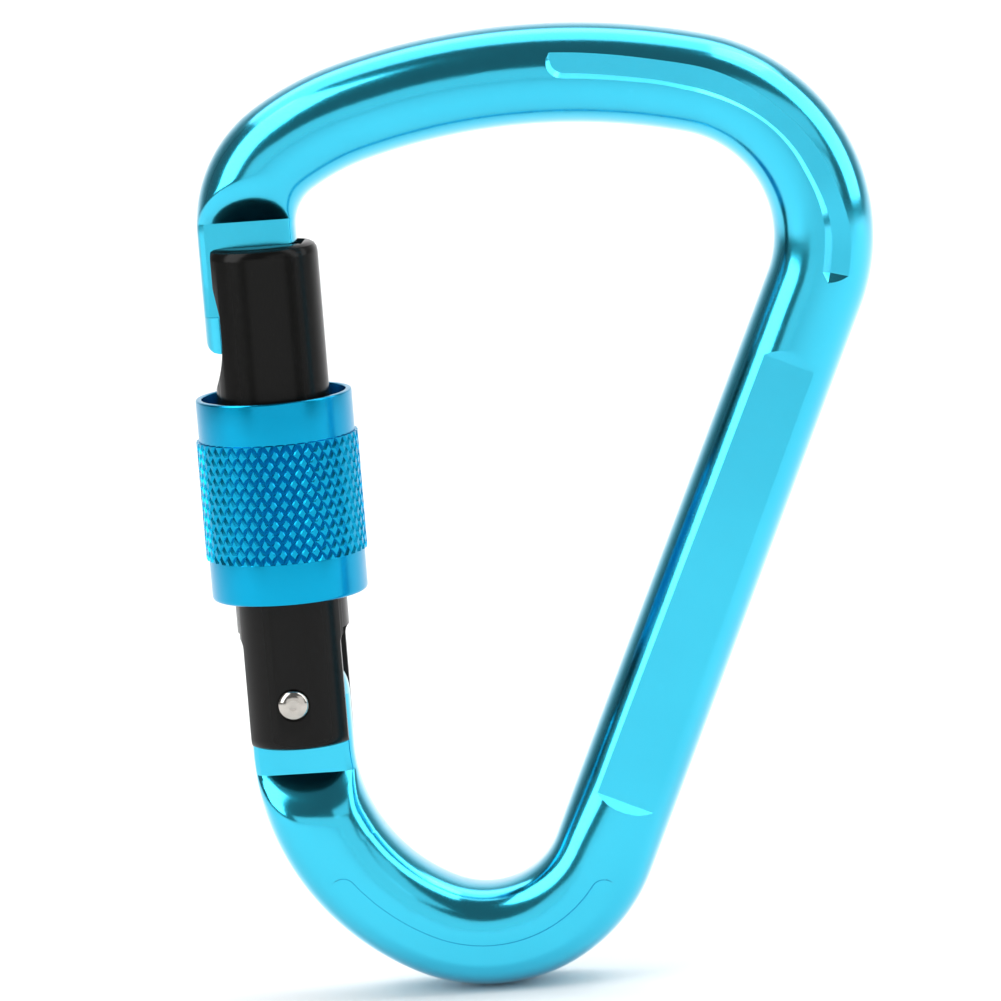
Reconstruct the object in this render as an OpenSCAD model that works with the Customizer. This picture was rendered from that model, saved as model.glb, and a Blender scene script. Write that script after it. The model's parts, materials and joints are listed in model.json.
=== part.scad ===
// Locking carabiner: a forged D-shaped frame, a hinged barrel gate and a screw sleeve.
// Millimetres. The origin is the inside of the top bow, on the middle plane, where a sling
// bears. +Z runs along the closed gate from its hinge to the nose, +X runs from the gate
// towards the spine, and Y is the thickness of the frame.

/* [Frame bar] */
// Diameter of the bar from the nose to the spine
bar_d = 10.9; // [9.2:0.1:13.2]
// Diameter of the bar round the bottom bow and up the tail
bow_d = 11.3; // [9.6:0.1:13.6]
// Lean of the spine from the line of the gate, in degrees
spine_lean = 24.4; // [18:0.1:30]
// Centreline radius of the bend under the gate
tail_r = 23.2; // [19:0.1:28]
// Turn of the bend under the gate, in degrees
tail_turn = 65; // [58:1:72]
// Centreline radius of the bottom bow
bow_r = 14.3; // [12:0.1:17.5]
// Centreline radius of the corner where the spine meets the top bar
corner_r = 17; // [14:0.1:20.5]
// Turn of that corner, in degrees
corner_turn = 100.3; // [94:0.1:106]
// Turn of the long top bar, in degrees
top_turn = 29.6; // [24:0.1:34]
// Centreline radius of the shoulder above the nose
shoulder_r = 29.3; // [24:0.1:35]
// Turn of the shoulder, in degrees
shoulder_turn = 17; // [12:1:22]
// Centreline radius of the bend down into the nose
nose_r = 10.3; // [8.6:0.1:12.4]
// Straight length of the tail between the hinge and its bend
tail_straight = 5.8; // [5:0.1:9]

/* [Pressed faces] */
// Thickness of the spine across its two flats
spine_flat_t = 9.5; // [7.9:0.1:10.4]
// Length of the flats on the spine
spine_flat_len = 53; // [40:1:60]
// Distance from the bottom bow to the flats
spine_flat_start = 7; // [3:0.5:12]
// Length of the slope at the upper end of a flat
flat_run_out = 1.6; // [0.5:0.1:4]
// Thickness of the corner across the two outer recesses
corner_recess_t = 9.7; // [8.4:0.1:10.6]
// Distance of a recess's wall outside the centreline
recess_offset = 0.35; // [0:0.05:1.5]
// Turn of the corner recess round the corner, in degrees
corner_recess_turn = 90; // [60:1:95]
// Turn of the corner recess along the top bar, in degrees
top_recess_turn = 12.2; // [4:0.1:20]
// Thickness of the bottom bow across its two shallow recesses
bow_recess_t = 10.7; // [9:0.1:11]
// Turn left plain at the spine end of the bow recess, in degrees
bow_recess_start = 5.6; // [0:0.1:20]
// Turn of the bow recess up the tail bend, in degrees
tail_recess_turn = 28; // [10:1:45]

/* [Nose and tail] */
// Offset of the nose's centreline outside the gate's axis
nose_shift = 1.4; // [0.8:0.1:2]
// Thickness of the nose and tail tongues
tongue_t = 4.4; // [3.6:0.1:5.4]
// Height of the bend's end above the gate's top
nose_rise = 1.6; // [1:0.1:3]
// Height of the nose's step above the gate's top
nose_step = 2.8; // [2.2:0.1:4]
// Length of the slope from the tongue's face out to the bar's crown
nose_slope_run = 3.9; // [2:0.1:6]
// Depth of the nose's tip below the gate's top
nose_depth = 11.5; // [9:0.1:12.5]
// Height of the wide head at the nose's tip
head_h = 4; // [3:0.1:5]
// Thickness of the head from its outer side
head_t = 1.9; // [1.4:0.1:2.4]
// Amount that the head stands out on each side of the tongue
head_lip = 0.9; // [0.5:0.1:1.3]
// Radius on the tip of the nose
tip_r = 1.7; // [1:0.1:1.9]
// Depth of the tail's step below the hinge
tail_step = 8.5; // [8.1:0.1:10]
// Length of the slope from the tail's face out to the bar's crown
tail_slope_run = 3.2; // [2:0.1:6]

/* [Gate] */
// Diameter of the gate's barrel
gate_d = 12.4; // [11.4:0.1:15]
// Height of the gate's top above its hinge
gate_rise = 50.5; // [48:0.5:62]
// Depth of the gate's lower end below its hinge
gate_drop = 5.2; // [4.4:0.1:5.6]
// Radius round the barrel's top edge
gate_top_round = 0.8; // [0.2:0.1:1.2]
// Radius round the barrel's lower edge
gate_low_round = 1.1; // [0.2:0.1:1.6]
// Distance across the two flats on the fork
fork_flat_w = 10.8; // [9.8:0.1:11.6]
// Height of the fork's slot above the hinge
fork_h = 7.7; // [7:0.1:9.5]
// Side clearance of a tongue in its slot
slot_gap = 0.12; // [0.05:0.01:0.3]
// Depth of the nose slot behind the nose's inner side
nose_slot_reach = 0.7; // [0.35:0.05:1.1]
// Diameter of the hinge rivet
rivet_d = 3.2; // [2.6:0.1:4]
// Radial clearance of the rivet in the frame's tail
rivet_gap = 0.05; // [0.02:0.01:0.1]
// Height of the rivet's dome above the barrel
rivet_dome = 0.55; // [0.3:0.05:0.9]

/* [Sleeve] */
// Length of the locking sleeve
sleeve_len = 22.4; // [20:0.1:26.5]
// Distance from the gate's top down to the unlocked sleeve
sleeve_below = 16.6; // [15.8:0.1:18]
// Wall of the sleeve's upper mouth
mouth_wall = 0.65; // [0.5:0.05:1.2]
// Clearance between the sleeve's mouth and the nose's head
mouth_gap = 0.45; // [0.3:0.05:1]
// Depth of the sleeve's upper mouth
mouth_depth = 6.2; // [5.8:0.1:8]
// Amount that the locked sleeve covers the nose's tip
lock_cover = 5.4; // [3.5:0.1:6]
// Height of the thread's crest above the barrel
thread_h = 0.8; // [0.6:0.05:1.1]
// Radial clearance of the thread
thread_gap = 0.05; // [0.02:0.01:0.1]
// Height of the knurl above the sleeve's plain bands
knurl_h = 0.4; // [0.2:0.05:0.7]
// Length of the knurled band
knurl_len = 13.1; // [10:0.1:15]
// Radius on the sleeve's lower edge
sleeve_round = 0.5; // [0.2:0.05:0.9]

/* [Spring and plunger] */
// Outer diameter of the gate's spring
spring_d = 4.1; // [3.6:0.1:4.6]
// Diameter of the spring's wire
wire_d = 0.6; // [0.5:0.05:0.8]
// Length of the fitted spring
spring_len = 16.5; // [12:0.5:18]
// Number of coils
coils = 9; // [6:1:12]
// Diameter of the plunger's tip
plunger_tip_d = 3.2; // [2.6:0.1:3.6]
// Plunger travel for each radian that the gate turns
cam_rate = 3; // [2:0.1:3.4]
// Angle to which the gate opens, in degrees
gate_open = 34; // [25:1:36]

/* [Hidden] */
$fn = 96;
over = 1;           // how far a cut runs past the solid
lap = 0.3;          // how far neighbouring stretches of the bar run into each other
lap_step = 0.02;    // how much thinner every second stretch is

// Frame: headings are degrees from +Z towards +X, and fall as the bar turns left
bar_r = bar_d / 2;
bow_bar_r = bow_d / 2;
head_bow = 180 - tail_turn;
head_top = spine_lean - corner_turn;
head_shoulder = head_top - top_turn;
head_nose = head_shoulder - shoulder_turn;
nose_end = [-nose_shift, gate_rise + nose_rise];

function ahead(h) = [sin(h), cos(h)];
function turn(h0, h1) = [cos(h1) - cos(h0), sin(h0) - sin(h1)];
function centre(p, r, h) = p + r * [-cos(h), sin(h)];

// The spine's length and the top bar's radius are what closes the loop on the nose
fixed_part = [0, -tail_straight] + tail_r * turn(180, head_bow)
    + bow_r * turn(head_bow, spine_lean) + corner_r * turn(spine_lean, head_top)
    + shoulder_r * turn(head_shoulder, head_nose) + nose_r * turn(head_nose, -180);
left_over = nose_end - fixed_part;
up_spine = ahead(spine_lean);
along_top = turn(head_top, head_shoulder);
det = up_spine[0] * along_top[1] - up_spine[1] * along_top[0];
spine_len = (left_over[0] * along_top[1] - left_over[1] * along_top[0]) / det;
top_r = (up_spine[0] * left_over[1] - up_spine[1] * left_over[0]) / det;

p_tail = [0, -tail_straight];
p_bow = p_tail + tail_r * turn(180, head_bow);
p_spine = p_bow + bow_r * turn(head_bow, spine_lean);
p_corner = p_spine + spine_len * up_spine;
p_top = p_corner + corner_r * turn(spine_lean, head_top);
p_shoulder = p_top + top_r * along_top;
p_nose = p_shoulder + shoulder_r * turn(head_shoulder, head_nose);
c_corner = centre(p_corner, corner_r, spine_lean);
seat = c_corner + (corner_r - bar_r) * up_spine;

// Nose
nose_out = -nose_shift - bar_r;
nose_in = -nose_shift + bar_r;
tip_z = gate_rise - nose_depth;
head_in = nose_out + head_t;
head_half = tongue_t / 2 + head_lip;
nose_gap = 0.4;     // clearance of the tongue in the gate's slot
head_gap = 0.25;    // clearance of the head in the gate's hollow
tip_back = 0.6;     // how far the tip reaches inside the head's inner side
tip_rise = 1;       // height of the upright part of the tip's inner edge
tongue_drop = 3.4;  // depth below the gate's top where the tongue is full width
tongue_low = [head_in + tip_back, tip_z + tip_rise];
tongue_high = [nose_in, gate_rise - tongue_drop];

// Gate
gate_r = gate_d / 2;
slot_w = tongue_t + 2 * slot_gap;
hollow_x = head_in + head_gap;
hollow_r = 11.8;    // radius of the hollow's lower run-out
hollow_rise = 1.5;  // height of the hollow's deepest line above the nose's tip
hollow_z = tip_z + hollow_rise;
side_step = 0.6;    // step from the hollow out to the flat above it
side_len = 4.2;     // length of that flat
side_x = hollow_x - side_step;
side_z = gate_rise - side_len;
fork_round = 1.6;   // radius at the top of the fork's side flats
rivet_r = rivet_d / 2;
rivet_lip = 0.2;    // how far the rivet's head stands out round its shank
rivet_head_r = rivet_r + rivet_lip;
rivet_seat = 0.3;   // depth of the head's seat below the barrel's surface
rivet_flat = 0.93;  // share of the dome's height that its small flat leaves

// Sleeve and its thread
sleeve_top = gate_rise - sleeve_below;
sleeve_low = sleeve_top - sleeve_len;
travel = tip_z + lock_cover - sleeve_top;
collar_r = gate_r + thread_h;
mouth_step = 0.6;   // least step from the thread out to the mouth
mouth_r = max(norm([nose_out, head_half]) + mouth_gap, collar_r + mouth_step);
sleeve_r = mouth_r + mouth_wall;
knurl_r = sleeve_r + knurl_h;
knurl_low = sleeve_low + (sleeve_len - knurl_len) / 2;
bore_r = collar_r + thread_gap;
ring_gap = 0.1;
ring_wall = 1.1;
ring_h = 1;
ring_lip = 1.2;     // height of the lip under the ring's groove
ring_cover = 0.5;   // how far that lip reaches in under the ring
ring_low = sleeve_low + ring_lip;
ring_in_r = gate_r + ring_gap;
ring_out_r = ring_in_r + ring_wall;
ring_mouth_r = ring_out_r - ring_cover;
ring_opening = 20;  // angle of the gap in the snap ring
collar_low = ring_low + ring_h + travel + ring_gap;
collar_cover = 2.9; // depth of the thread collar below the unlocked sleeve's top
collar_top = sleeve_top - collar_cover;

// Spring and plunger, in the gate's blind bore
spring_gap = 0.2;
well_r = spring_d / 2 + spring_gap;
plunger_gap = 0.15; // radial clearance of the plunger in the bore
plunger_r = well_r - plunger_gap;
tip_ball = plunger_tip_d / 2;
cam_gap = 0.15;     // clearance between the tip and the tail's edge
cam_wall = 2.2;     // height of the tip above the rivet
ball_rise = rivet_r + cam_wall + tip_ball;
plunger_rise = 0.6; // height of the plunger's shoulder above the fork's slot
plunger_h = 2.4;
plunger_low = fork_h + plunger_rise;
plunger_high = plunger_low + plunger_h;
spigot_gap = 0.25;  // radial clearance of the spigot inside the spring
spigot_r = spring_d / 2 - wire_d - spigot_gap;
spigot_h = 3;
seat_gap = 0.05;    // clearance at each end of the spring
spring_low = plunger_high + seat_gap;
well_top = spring_low + spring_len + seat_gap;

module in_place() {
    translate([-seat[0], 0, -seat[1]]) children();
}

// Turns the drawing plane upright: drawn x stays X, drawn y becomes Z
module upright() {
    rotate([90, 0, 0]) children();
}

// Each thin stretch of the bar runs lap past both ends, into thicker neighbours
module bend(p, r, h0, h1, thin = 0) {
    c = centre(p, r, h0);
    more = thin == 0 ? 0 : lap / r * 180 / PI;
    translate([c[0], c[1], 0]) rotate([0, 0, -h0 - more])
        rotate_extrude(angle = h0 - h1 + 2 * more) translate([r, 0]) children();
}

module straight(p, h, len, r0, r1) {
    translate([p[0], p[1], 0]) rotate([0, 0, -h]) rotate([-90, 0, 0])
        cylinder(h = len, r1 = r0, r2 = r1);
}

module bar() {
    sphere(bow_bar_r - lap_step);
    straight(p_tail, 0, tail_straight, bow_bar_r, bow_bar_r);
    bend(p_tail, tail_r, 180, head_bow, 1) circle(bow_bar_r - lap_step);
    bend(p_bow, bow_r, head_bow, spine_lean) circle(bow_bar_r);
    straight(p_spine - lap * up_spine, spine_lean, spine_len + 2 * lap,
             bow_bar_r - lap_step, bar_r - lap_step);
    bend(p_corner, corner_r, spine_lean, head_top) circle(bar_r);
    bend(p_top, top_r, head_top, head_shoulder, 1) circle(bar_r - lap_step);
    bend(p_shoulder, shoulder_r, head_shoulder, head_nose) circle(bar_r);
    bend(p_nose, nose_r, head_nose, -180, 1) circle(bar_r - lap_step);
    straight(nose_end, 180, nose_end[1] - tip_z, bar_r, bar_r);
}

module both_faces() {
    children();
    mirror([0, 0, 1]) children();
}

// The section of a recess: everything outside its wall and above its floor
module recess_section(floor_t, r, offset) {
    translate([offset, floor_t / 2]) square([r + over, r]);
}

module spine_flats() {
    half = spine_flat_t / 2;
    up = bar_r + over;
    s0 = spine_flat_start;
    s1 = s0 + spine_flat_len;
    translate([p_spine[0], p_spine[1], 0]) rotate([0, 0, -spine_lean])
        both_faces() translate([-bow_d, 0, 0]) rotate([90, 0, 90])
            linear_extrude(2 * bow_d)
                polygon([[s0, half], [s1 - flat_run_out, half], [s1, bar_r + over],
                         [s1, up + over], [s0, up + over]]);
}

module corner_recess() {
    h0 = spine_lean - (corner_turn - corner_recess_turn);
    c_top = centre(p_top, top_r, head_top);
    more = lap / top_r * 180 / PI;
    both_faces() {
        translate([c_corner[0], c_corner[1], 0]) rotate([0, 0, -h0])
            rotate_extrude(angle = h0 - head_top) translate([corner_r, 0])
                recess_section(corner_recess_t, bar_r, recess_offset);
        translate([c_top[0], c_top[1], 0]) rotate([0, 0, -head_top - more])
            rotate_extrude(angle = top_recess_turn + more) translate([top_r, 0])
                recess_section(corner_recess_t, bar_r, recess_offset + lap_step);
    }
}

module bow_recess() {
    c_bow = centre(p_bow, bow_r, head_bow);
    c_tail = centre(p_tail, tail_r, 180);
    more = lap / tail_r * 180 / PI;
    both_faces() {
        translate([c_bow[0], c_bow[1], 0]) rotate([0, 0, -head_bow])
            rotate_extrude(angle = head_bow - spine_lean - bow_recess_start)
                translate([bow_r, 0])
                    recess_section(bow_recess_t, bow_bar_r, recess_offset);
        translate([c_tail[0], c_tail[1], 0])
            rotate([0, 0, -head_bow - tail_recess_turn])
                rotate_extrude(angle = tail_recess_turn + more) translate([tail_r, 0])
                    recess_section(bow_recess_t, bow_bar_r, recess_offset + lap_step);
    }
}

// Cuts both faces down to a tongue: y is height and z is thickness in the outline
module face_cut(outline, x0, x1) {
    both_faces() translate([x0, 0, 0]) rotate([90, 0, 90])
        linear_extrude(x1 - x0) polygon(outline);
}

module nose_cuts() {
    half = tongue_t / 2;
    step_z = gate_rise + nose_step;
    up = bar_r + over;
    slope = (bar_r - half) / nose_slope_run;
    top_z = step_z + nose_slope_run + over / slope;
    left = nose_out - over;
    right = nose_in + over;
    face_cut([[tip_z + head_h, half], [step_z, half], [top_z, up], [tip_z + head_h, up]],
             left, right);
    face_cut([[tip_z - over, head_half], [tip_z + head_h + over, head_half],
              [tip_z + head_h + over, up], [tip_z - over, up]], left, right);
    face_cut([[tip_z - over, half], [tip_z + head_h + over, half],
              [tip_z + head_h + over, up], [tip_z - over, up]], head_in, right);
}

// Removes what lies inside the tongue's inner edge, and rounds the tip
module nose_inner_cut() {
    translate([0, 0, -bar_d]) linear_extrude(2 * bar_d) {
        polygon([[tongue_low[0], tip_z - over], tongue_low, tongue_high,
                 [nose_in + over, tongue_high[1]], [nose_in + over, tip_z - over]]);
        translate([nose_out - over, tip_z - over]) difference() {
            square([tip_r + over, tip_r + over]);
            translate([tip_r + over, tip_r + over]) circle(tip_r);
        }
    }
}

module tail_cuts() {
    half = tongue_t / 2;
    up = bow_bar_r + over;
    slope = (bow_bar_r - half) / tail_slope_run;
    low_z = -tail_step - tail_slope_run - over / slope;
    face_cut([[-tail_step, half], [bow_bar_r + over, half], [bow_bar_r + over, up],
              [low_z, up]], -bow_bar_r - over, bow_bar_r + 2 * over);
}

// The tip of the plunger, as the gate turns, stays clear of this edge by cam_gap
function ball_at(a) = (ball_rise + cam_rate * a * PI / 180) * ahead(a);
function cam_normal(a) =
    let (c = ball_rise + cam_rate * a * PI / 180, n = c * ahead(a) - cam_rate * [cos(a), -sin(a)])
    n / norm(n);
cam_before = 20;
cam_after = 14;
cam_step = 3;
cam_edge = [for (a = [-cam_before:cam_step:gate_open + cam_after])
    ball_at(a) - (tip_ball + cam_gap) * cam_normal(a)];

module cam_notch() {
    first = cam_edge[0];
    last = cam_edge[len(cam_edge) - 1];
    top = bow_bar_r + 3 * over;
    left = -tip_ball - 2 * cam_gap;
    translate([0, 0, -bow_d]) linear_extrude(2 * bow_d)
        polygon(concat(cam_edge, [[last[0], top], [left, top], [left, first[1]]]));
}

module frame() {
    color([0.07, 0.68, 0.8]) in_place() upright() difference() {
        bar();
        spine_flats();
        corner_recess();
        bow_recess();
        nose_cuts();
        nose_inner_cut();
        tail_cuts();
        translate([0, 0, -bow_d]) cylinder(h = 2 * bow_d, r = rivet_r + rivet_gap);
        cam_notch();
    }
}

// Outline of the barrel, turned round the gate's axis
module barrel_outline() {
    difference() {
        union() {
            translate([0, -gate_drop]) square([gate_r, gate_drop + gate_rise]);
            translate([0, collar_low]) square([collar_r, collar_top - collar_low]);
        }
        translate([gate_r - gate_top_round, gate_rise - gate_top_round]) difference() {
            square(gate_top_round + over);
            circle(gate_top_round);
        }
        translate([gate_r - gate_low_round, -gate_drop + gate_low_round])
            mirror([0, 1]) difference() {
                square(gate_low_round + over);
                circle(gate_low_round);
            }
    }
}

module nose_slot() {
    edge = tongue_high - tongue_low;
    shift = nose_gap * [edge[1], -edge[0]] / norm(edge);
    high = tongue_high + shift;
    rise = edge[1] / edge[0];
    left = -gate_r - over;
    floor_z = tip_z - nose_gap;
    back = tongue_low[0] + nose_gap;
    closed = nose_in + nose_slot_reach;
    translate([0, 0, -slot_w / 2]) linear_extrude(slot_w)
        polygon([[left, floor_z], [back, floor_z],
                 [back, high[1] + (back - high[0]) * rise],
                 [closed, high[1] + (closed - high[0]) * rise],
                 [closed, gate_rise + over], [left, gate_rise + over]]);
}

// Hollow in the barrel's outer side that the nose's head lies in
module head_hollow() {
    left = -gate_r - over;
    translate([0, 0, -gate_d]) linear_extrude(2 * gate_d) {
        intersection() {
            translate([hollow_x - hollow_r, hollow_z]) circle(hollow_r);
            translate([left, hollow_z - hollow_r]) square([gate_d, hollow_r]);
        }
        polygon([[hollow_x, hollow_z], [hollow_x, tip_z + head_h + head_gap],
                 [side_x, side_z], [side_x, gate_rise + over],
                 [left, gate_rise + over], [left, hollow_z]]);
    }
}

module fork_flats() {
    for (side = [0, 1]) mirror([side, 0, 0])
        translate([fork_flat_w / 2, -gate_drop - over, -gate_d]) {
            cube([gate_r, gate_drop + over + fork_h - fork_round, 2 * gate_d]);
            translate([fork_round, gate_drop + over + fork_h - fork_round, 0])
                cylinder(h = 2 * gate_d, r = fork_round);
        }
}

module fork_slot() {
    translate([-gate_d, -gate_drop - over, -slot_w / 2])
        cube([2 * gate_d, gate_drop + over + fork_h, slot_w]);
}

module gate_barrel() {
    color([0.05, 0.05, 0.055]) in_place() difference() {
        rotate_extrude() barrel_outline();
        upright() {
            nose_slot();
            head_hollow();
            fork_flats();
            fork_slot();
            translate([0, 0, -gate_d]) cylinder(h = 2 * gate_d, r = rivet_r);
            both_faces() translate([0, 0, gate_r - rivet_seat])
                cylinder(h = gate_r, r = rivet_head_r);
        }
        translate([0, 0, fork_h - over]) cylinder(h = well_top - fork_h + over, r = well_r);
    }
}

module rivet_half() {
    head_low = gate_r - rivet_seat;
    dome_h = rivet_seat + rivet_dome;
    dome_r = (rivet_head_r * rivet_head_r + dome_h * dome_h) / (2 * dome_h);
    flat_z = head_low + dome_h * rivet_flat;
    cylinder(h = head_low, r = rivet_r);
    intersection() {
        translate([0, 0, head_low + dome_h - dome_r]) sphere(dome_r);
        translate([0, 0, head_low]) cylinder(h = flat_z - head_low, r = rivet_head_r);
    }
}

module gate_rivet() {
    color([0.78, 0.76, 0.72]) in_place() upright() both_faces() rivet_half();
}

module spring_plunger() {
    color([0.7, 0.7, 0.72]) in_place() {
        translate([0, 0, ball_rise]) sphere(tip_ball);
        translate([0, 0, ball_rise]) cylinder(h = plunger_low - ball_rise, r = tip_ball);
        translate([0, 0, plunger_low]) cylinder(h = plunger_high - plunger_low, r = plunger_r);
        translate([0, 0, plunger_high]) cylinder(h = spigot_h, r = spigot_r);
    }
}

// Coil spring with its end coils laid close
sides = 6;
steps = 16;
closed_turn = 1;
close_pitch = 1.05 * wire_d;    // pitch of the closed end coils
function lift(t) =
    let (ends = min(t, closed_turn) + max(0, t - (coils - closed_turn)),
         open_pitch = (spring_len - wire_d - 2 * closed_turn * close_pitch)
                      / (coils - 2 * closed_turn))
    ends * close_pitch + (t - ends) * open_pitch;
function wire_point(i, j) =
    let (t = i / steps, a = 360 * t, b = 360 * j / sides,
         r = spring_d / 2 - wire_d / 2 + wire_d / 2 * cos(b))
    [r * cos(a), r * sin(a), wire_d / 2 + lift(t) + wire_d / 2 * sin(b)];

module gate_spring() {
    rings = coils * steps;
    points = [for (i = [0:rings], j = [0:sides - 1]) wire_point(i, j)];
    walls = [for (i = [0:rings - 1], j = [0:sides - 1], k = [0, 1])
        let (a = i * sides + j, b = i * sides + (j + 1) % sides)
        k == 0 ? [a, b, b + sides] : [a, b + sides, a + sides]];
    start = [for (j = [sides - 1:-1:0]) j];
    finish = [for (j = [0:sides - 1]) rings * sides + j];
    color([0.6, 0.6, 0.62]) in_place() translate([0, 0, spring_low])
        polyhedron(points, concat(walls, [start, finish]));
}

module sleeve_outline() {
    difference() {
        union() {
            translate([bore_r, sleeve_low]) square([sleeve_r - bore_r, sleeve_len]);
            translate([bore_r, knurl_low]) square([knurl_r - bore_r, knurl_len]);
            translate([ring_mouth_r, sleeve_low])
                square([sleeve_r - ring_mouth_r, ring_low - sleeve_low]);
        }
        translate([0, sleeve_top - mouth_depth]) square([mouth_r, mouth_depth + over]);
        translate([0, ring_low - ring_gap])
            square([ring_out_r + ring_gap, ring_h + 2 * ring_gap]);
        translate([sleeve_r - sleeve_round, sleeve_low + sleeve_round])
            mirror([0, 1]) difference() {
                square(knurl_r);
                circle(sleeve_round);
            }
        translate([sleeve_r, sleeve_low - over]) square([knurl_r, over + sleeve_round]);
    }
}

module locking_sleeve() {
    color([0.02, 0.42, 0.72]) in_place() rotate_extrude() sleeve_outline();
}

module sleeve_stop_ring() {
    color([0.6, 0.6, 0.62]) in_place() rotate([0, 0, 90 + ring_opening / 2])
        rotate_extrude(angle = 360 - ring_opening)
            translate([ring_in_r, ring_low]) square([ring_wall, ring_h]);
}

frame();
gate_barrel();
gate_rivet();
spring_plunger();
gate_spring();
locking_sleeve();
sleeve_stop_ring();
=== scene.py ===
# %% [markdown]
# # A locking carabiner
#
# This lesson dresses a finished mechanical model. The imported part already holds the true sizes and
# the moving bodies, so Blender only has to give each piece its real surface. A cell of code follows
# each of these notes, makes one thing, and prints what it made.

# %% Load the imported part
import json
import math
import bpy
import bmesh
import numpy as np
from mathutils import Matrix, Vector


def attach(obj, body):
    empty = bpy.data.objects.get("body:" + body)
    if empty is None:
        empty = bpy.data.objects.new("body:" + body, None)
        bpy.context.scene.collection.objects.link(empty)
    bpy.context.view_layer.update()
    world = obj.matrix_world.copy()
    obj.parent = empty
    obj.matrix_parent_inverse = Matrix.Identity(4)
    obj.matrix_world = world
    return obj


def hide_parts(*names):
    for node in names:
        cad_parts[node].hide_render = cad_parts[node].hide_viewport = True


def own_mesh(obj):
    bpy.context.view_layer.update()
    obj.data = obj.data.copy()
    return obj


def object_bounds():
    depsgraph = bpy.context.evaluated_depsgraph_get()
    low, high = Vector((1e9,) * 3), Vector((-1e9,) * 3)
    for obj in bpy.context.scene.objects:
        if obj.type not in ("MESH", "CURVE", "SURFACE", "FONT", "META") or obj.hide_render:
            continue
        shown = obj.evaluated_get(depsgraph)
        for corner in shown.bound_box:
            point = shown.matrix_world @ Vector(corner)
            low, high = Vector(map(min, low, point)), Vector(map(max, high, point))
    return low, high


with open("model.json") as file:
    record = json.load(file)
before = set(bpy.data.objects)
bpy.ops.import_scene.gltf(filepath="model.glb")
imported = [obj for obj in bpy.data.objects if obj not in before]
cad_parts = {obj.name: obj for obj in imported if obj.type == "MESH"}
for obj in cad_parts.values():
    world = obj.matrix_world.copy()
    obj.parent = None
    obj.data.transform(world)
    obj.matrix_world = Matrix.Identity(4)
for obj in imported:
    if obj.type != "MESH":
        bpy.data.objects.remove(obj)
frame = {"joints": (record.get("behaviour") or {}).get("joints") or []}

cad_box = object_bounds()
print("CAD box, mm:", [[round(v * 1000, 2) for v in corner] for corner in cad_box])

# %% [markdown]
# ## Where things are
#
# The maker's drawing has its origin on the hinge pin, with z up the closed gate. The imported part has
# its origin at the top bow. The hinge's place in the record joins the two, so every size below can
# be written in millimetres from the pin, as it would be on the drawing.

# %% From the drawing to the frame
MM = 0.001
MICRON = 0.001 * MM
hinge = next(j for j in frame["joints"] if j["name"] == "gate_hinge")
pin = np.array(hinge["pos_m"])


def to_frame(points):
    """Points in millimetres from the hinge pin, as metres in the part's frame."""
    return np.asarray(points, float) * MM + pin


print("hinge pin, m:", pin)

# %% [markdown]
# ## A helper that turns points and faces into a piece
#
# Every piece is made the same way at the end: points and faces become a mesh, faces are shaded
# smooth, and edges sharper than a limit stay crisp. The object stays at the origin, and its place is
# in its mesh.

# %% Make a piece
CRISP = math.radians(28)
MERGE = 1e-7


def new_object(name, data):
    """An object in the scene, at the origin."""
    obj = bpy.data.objects.new(name, data)
    bpy.context.scene.collection.objects.link(obj)
    return obj


def finish_piece(obj, material, body, replaces=(), crisp=CRISP):
    """Gives a piece its finish and shading, and says which body it rides on."""
    obj.data.materials.clear()
    obj.data.materials.append(material)
    obj.data.polygons.foreach_set("use_smooth", [True] * len(obj.data.polygons))
    obj.data.set_sharp_from_angle(angle=crisp)
    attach(obj, body)
    if replaces:
        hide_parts(*replaces)
    corners = sum(len(p.vertices) - 2 for p in obj.data.polygons)
    print(f"{obj.name}: {len(obj.data.vertices)} points, {corners} triangles")
    return obj


def mesh_object(name, points_mm, faces):
    """A mesh object from points in millimetres on the drawing."""
    mesh = bpy.data.meshes.new(name)
    mesh.from_pydata([tuple(p) for p in to_frame(points_mm)], [], faces)
    mesh.update()
    return new_object(name, mesh)


def outward(obj):
    """Merges doubles and turns every face to the outside."""
    bm = bmesh.new()
    bm.from_mesh(obj.data)
    bmesh.ops.remove_doubles(bm, verts=bm.verts, dist=MERGE)
    bmesh.ops.recalc_face_normals(bm, faces=bm.faces)
    bm.to_mesh(obj.data)
    bm.free()


# %% [markdown]
# ## Finishes
#
# Anodised aluminium is metal under a thin clear dyed skin of oxide. The colour lives in the metal's
# reflection, and the skin adds a second, colourless gloss on top, which is a coat in the shader.
# Forged bars are tumbled before they are dyed, so the surface has a very fine unevenness.

# %% Node helpers
def new_material(name):
    """A material with its node tree and its shader."""
    material = bpy.data.materials.new(name)
    material.use_nodes = True
    tree = material.node_tree
    return material, tree, tree.nodes["Principled BSDF"]


def noise(tree, scale, detail=3.0, rough=0.5, stretch=(1, 1, 1)):
    """Noise on Object coordinates, which are metres: scale is in waves per metre."""
    coord = tree.nodes.new("ShaderNodeTexCoord")
    mapping = tree.nodes.new("ShaderNodeMapping")
    mapping.inputs["Scale"].default_value = stretch
    texture = tree.nodes.new("ShaderNodeTexNoise")
    texture.inputs["Scale"].default_value = scale
    texture.inputs["Detail"].default_value = detail
    texture.inputs["Roughness"].default_value = rough
    tree.links.new(coord.outputs["Object"], mapping.inputs["Vector"])
    tree.links.new(mapping.outputs["Vector"], texture.inputs["Vector"])
    return texture.outputs["Fac"]


def ramp(tree, value, stops):
    """A colour ramp from (position, colour) stops."""
    node = tree.nodes.new("ShaderNodeValToRGB")
    elements = node.color_ramp.elements
    for place, (position, colour) in enumerate(stops):
        element = elements[place] if place < 2 else elements.new(position)
        element.position = position
        element.color = (*colour, 1.0)
    tree.links.new(value, node.inputs["Fac"])
    return node.outputs["Color"]


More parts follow.
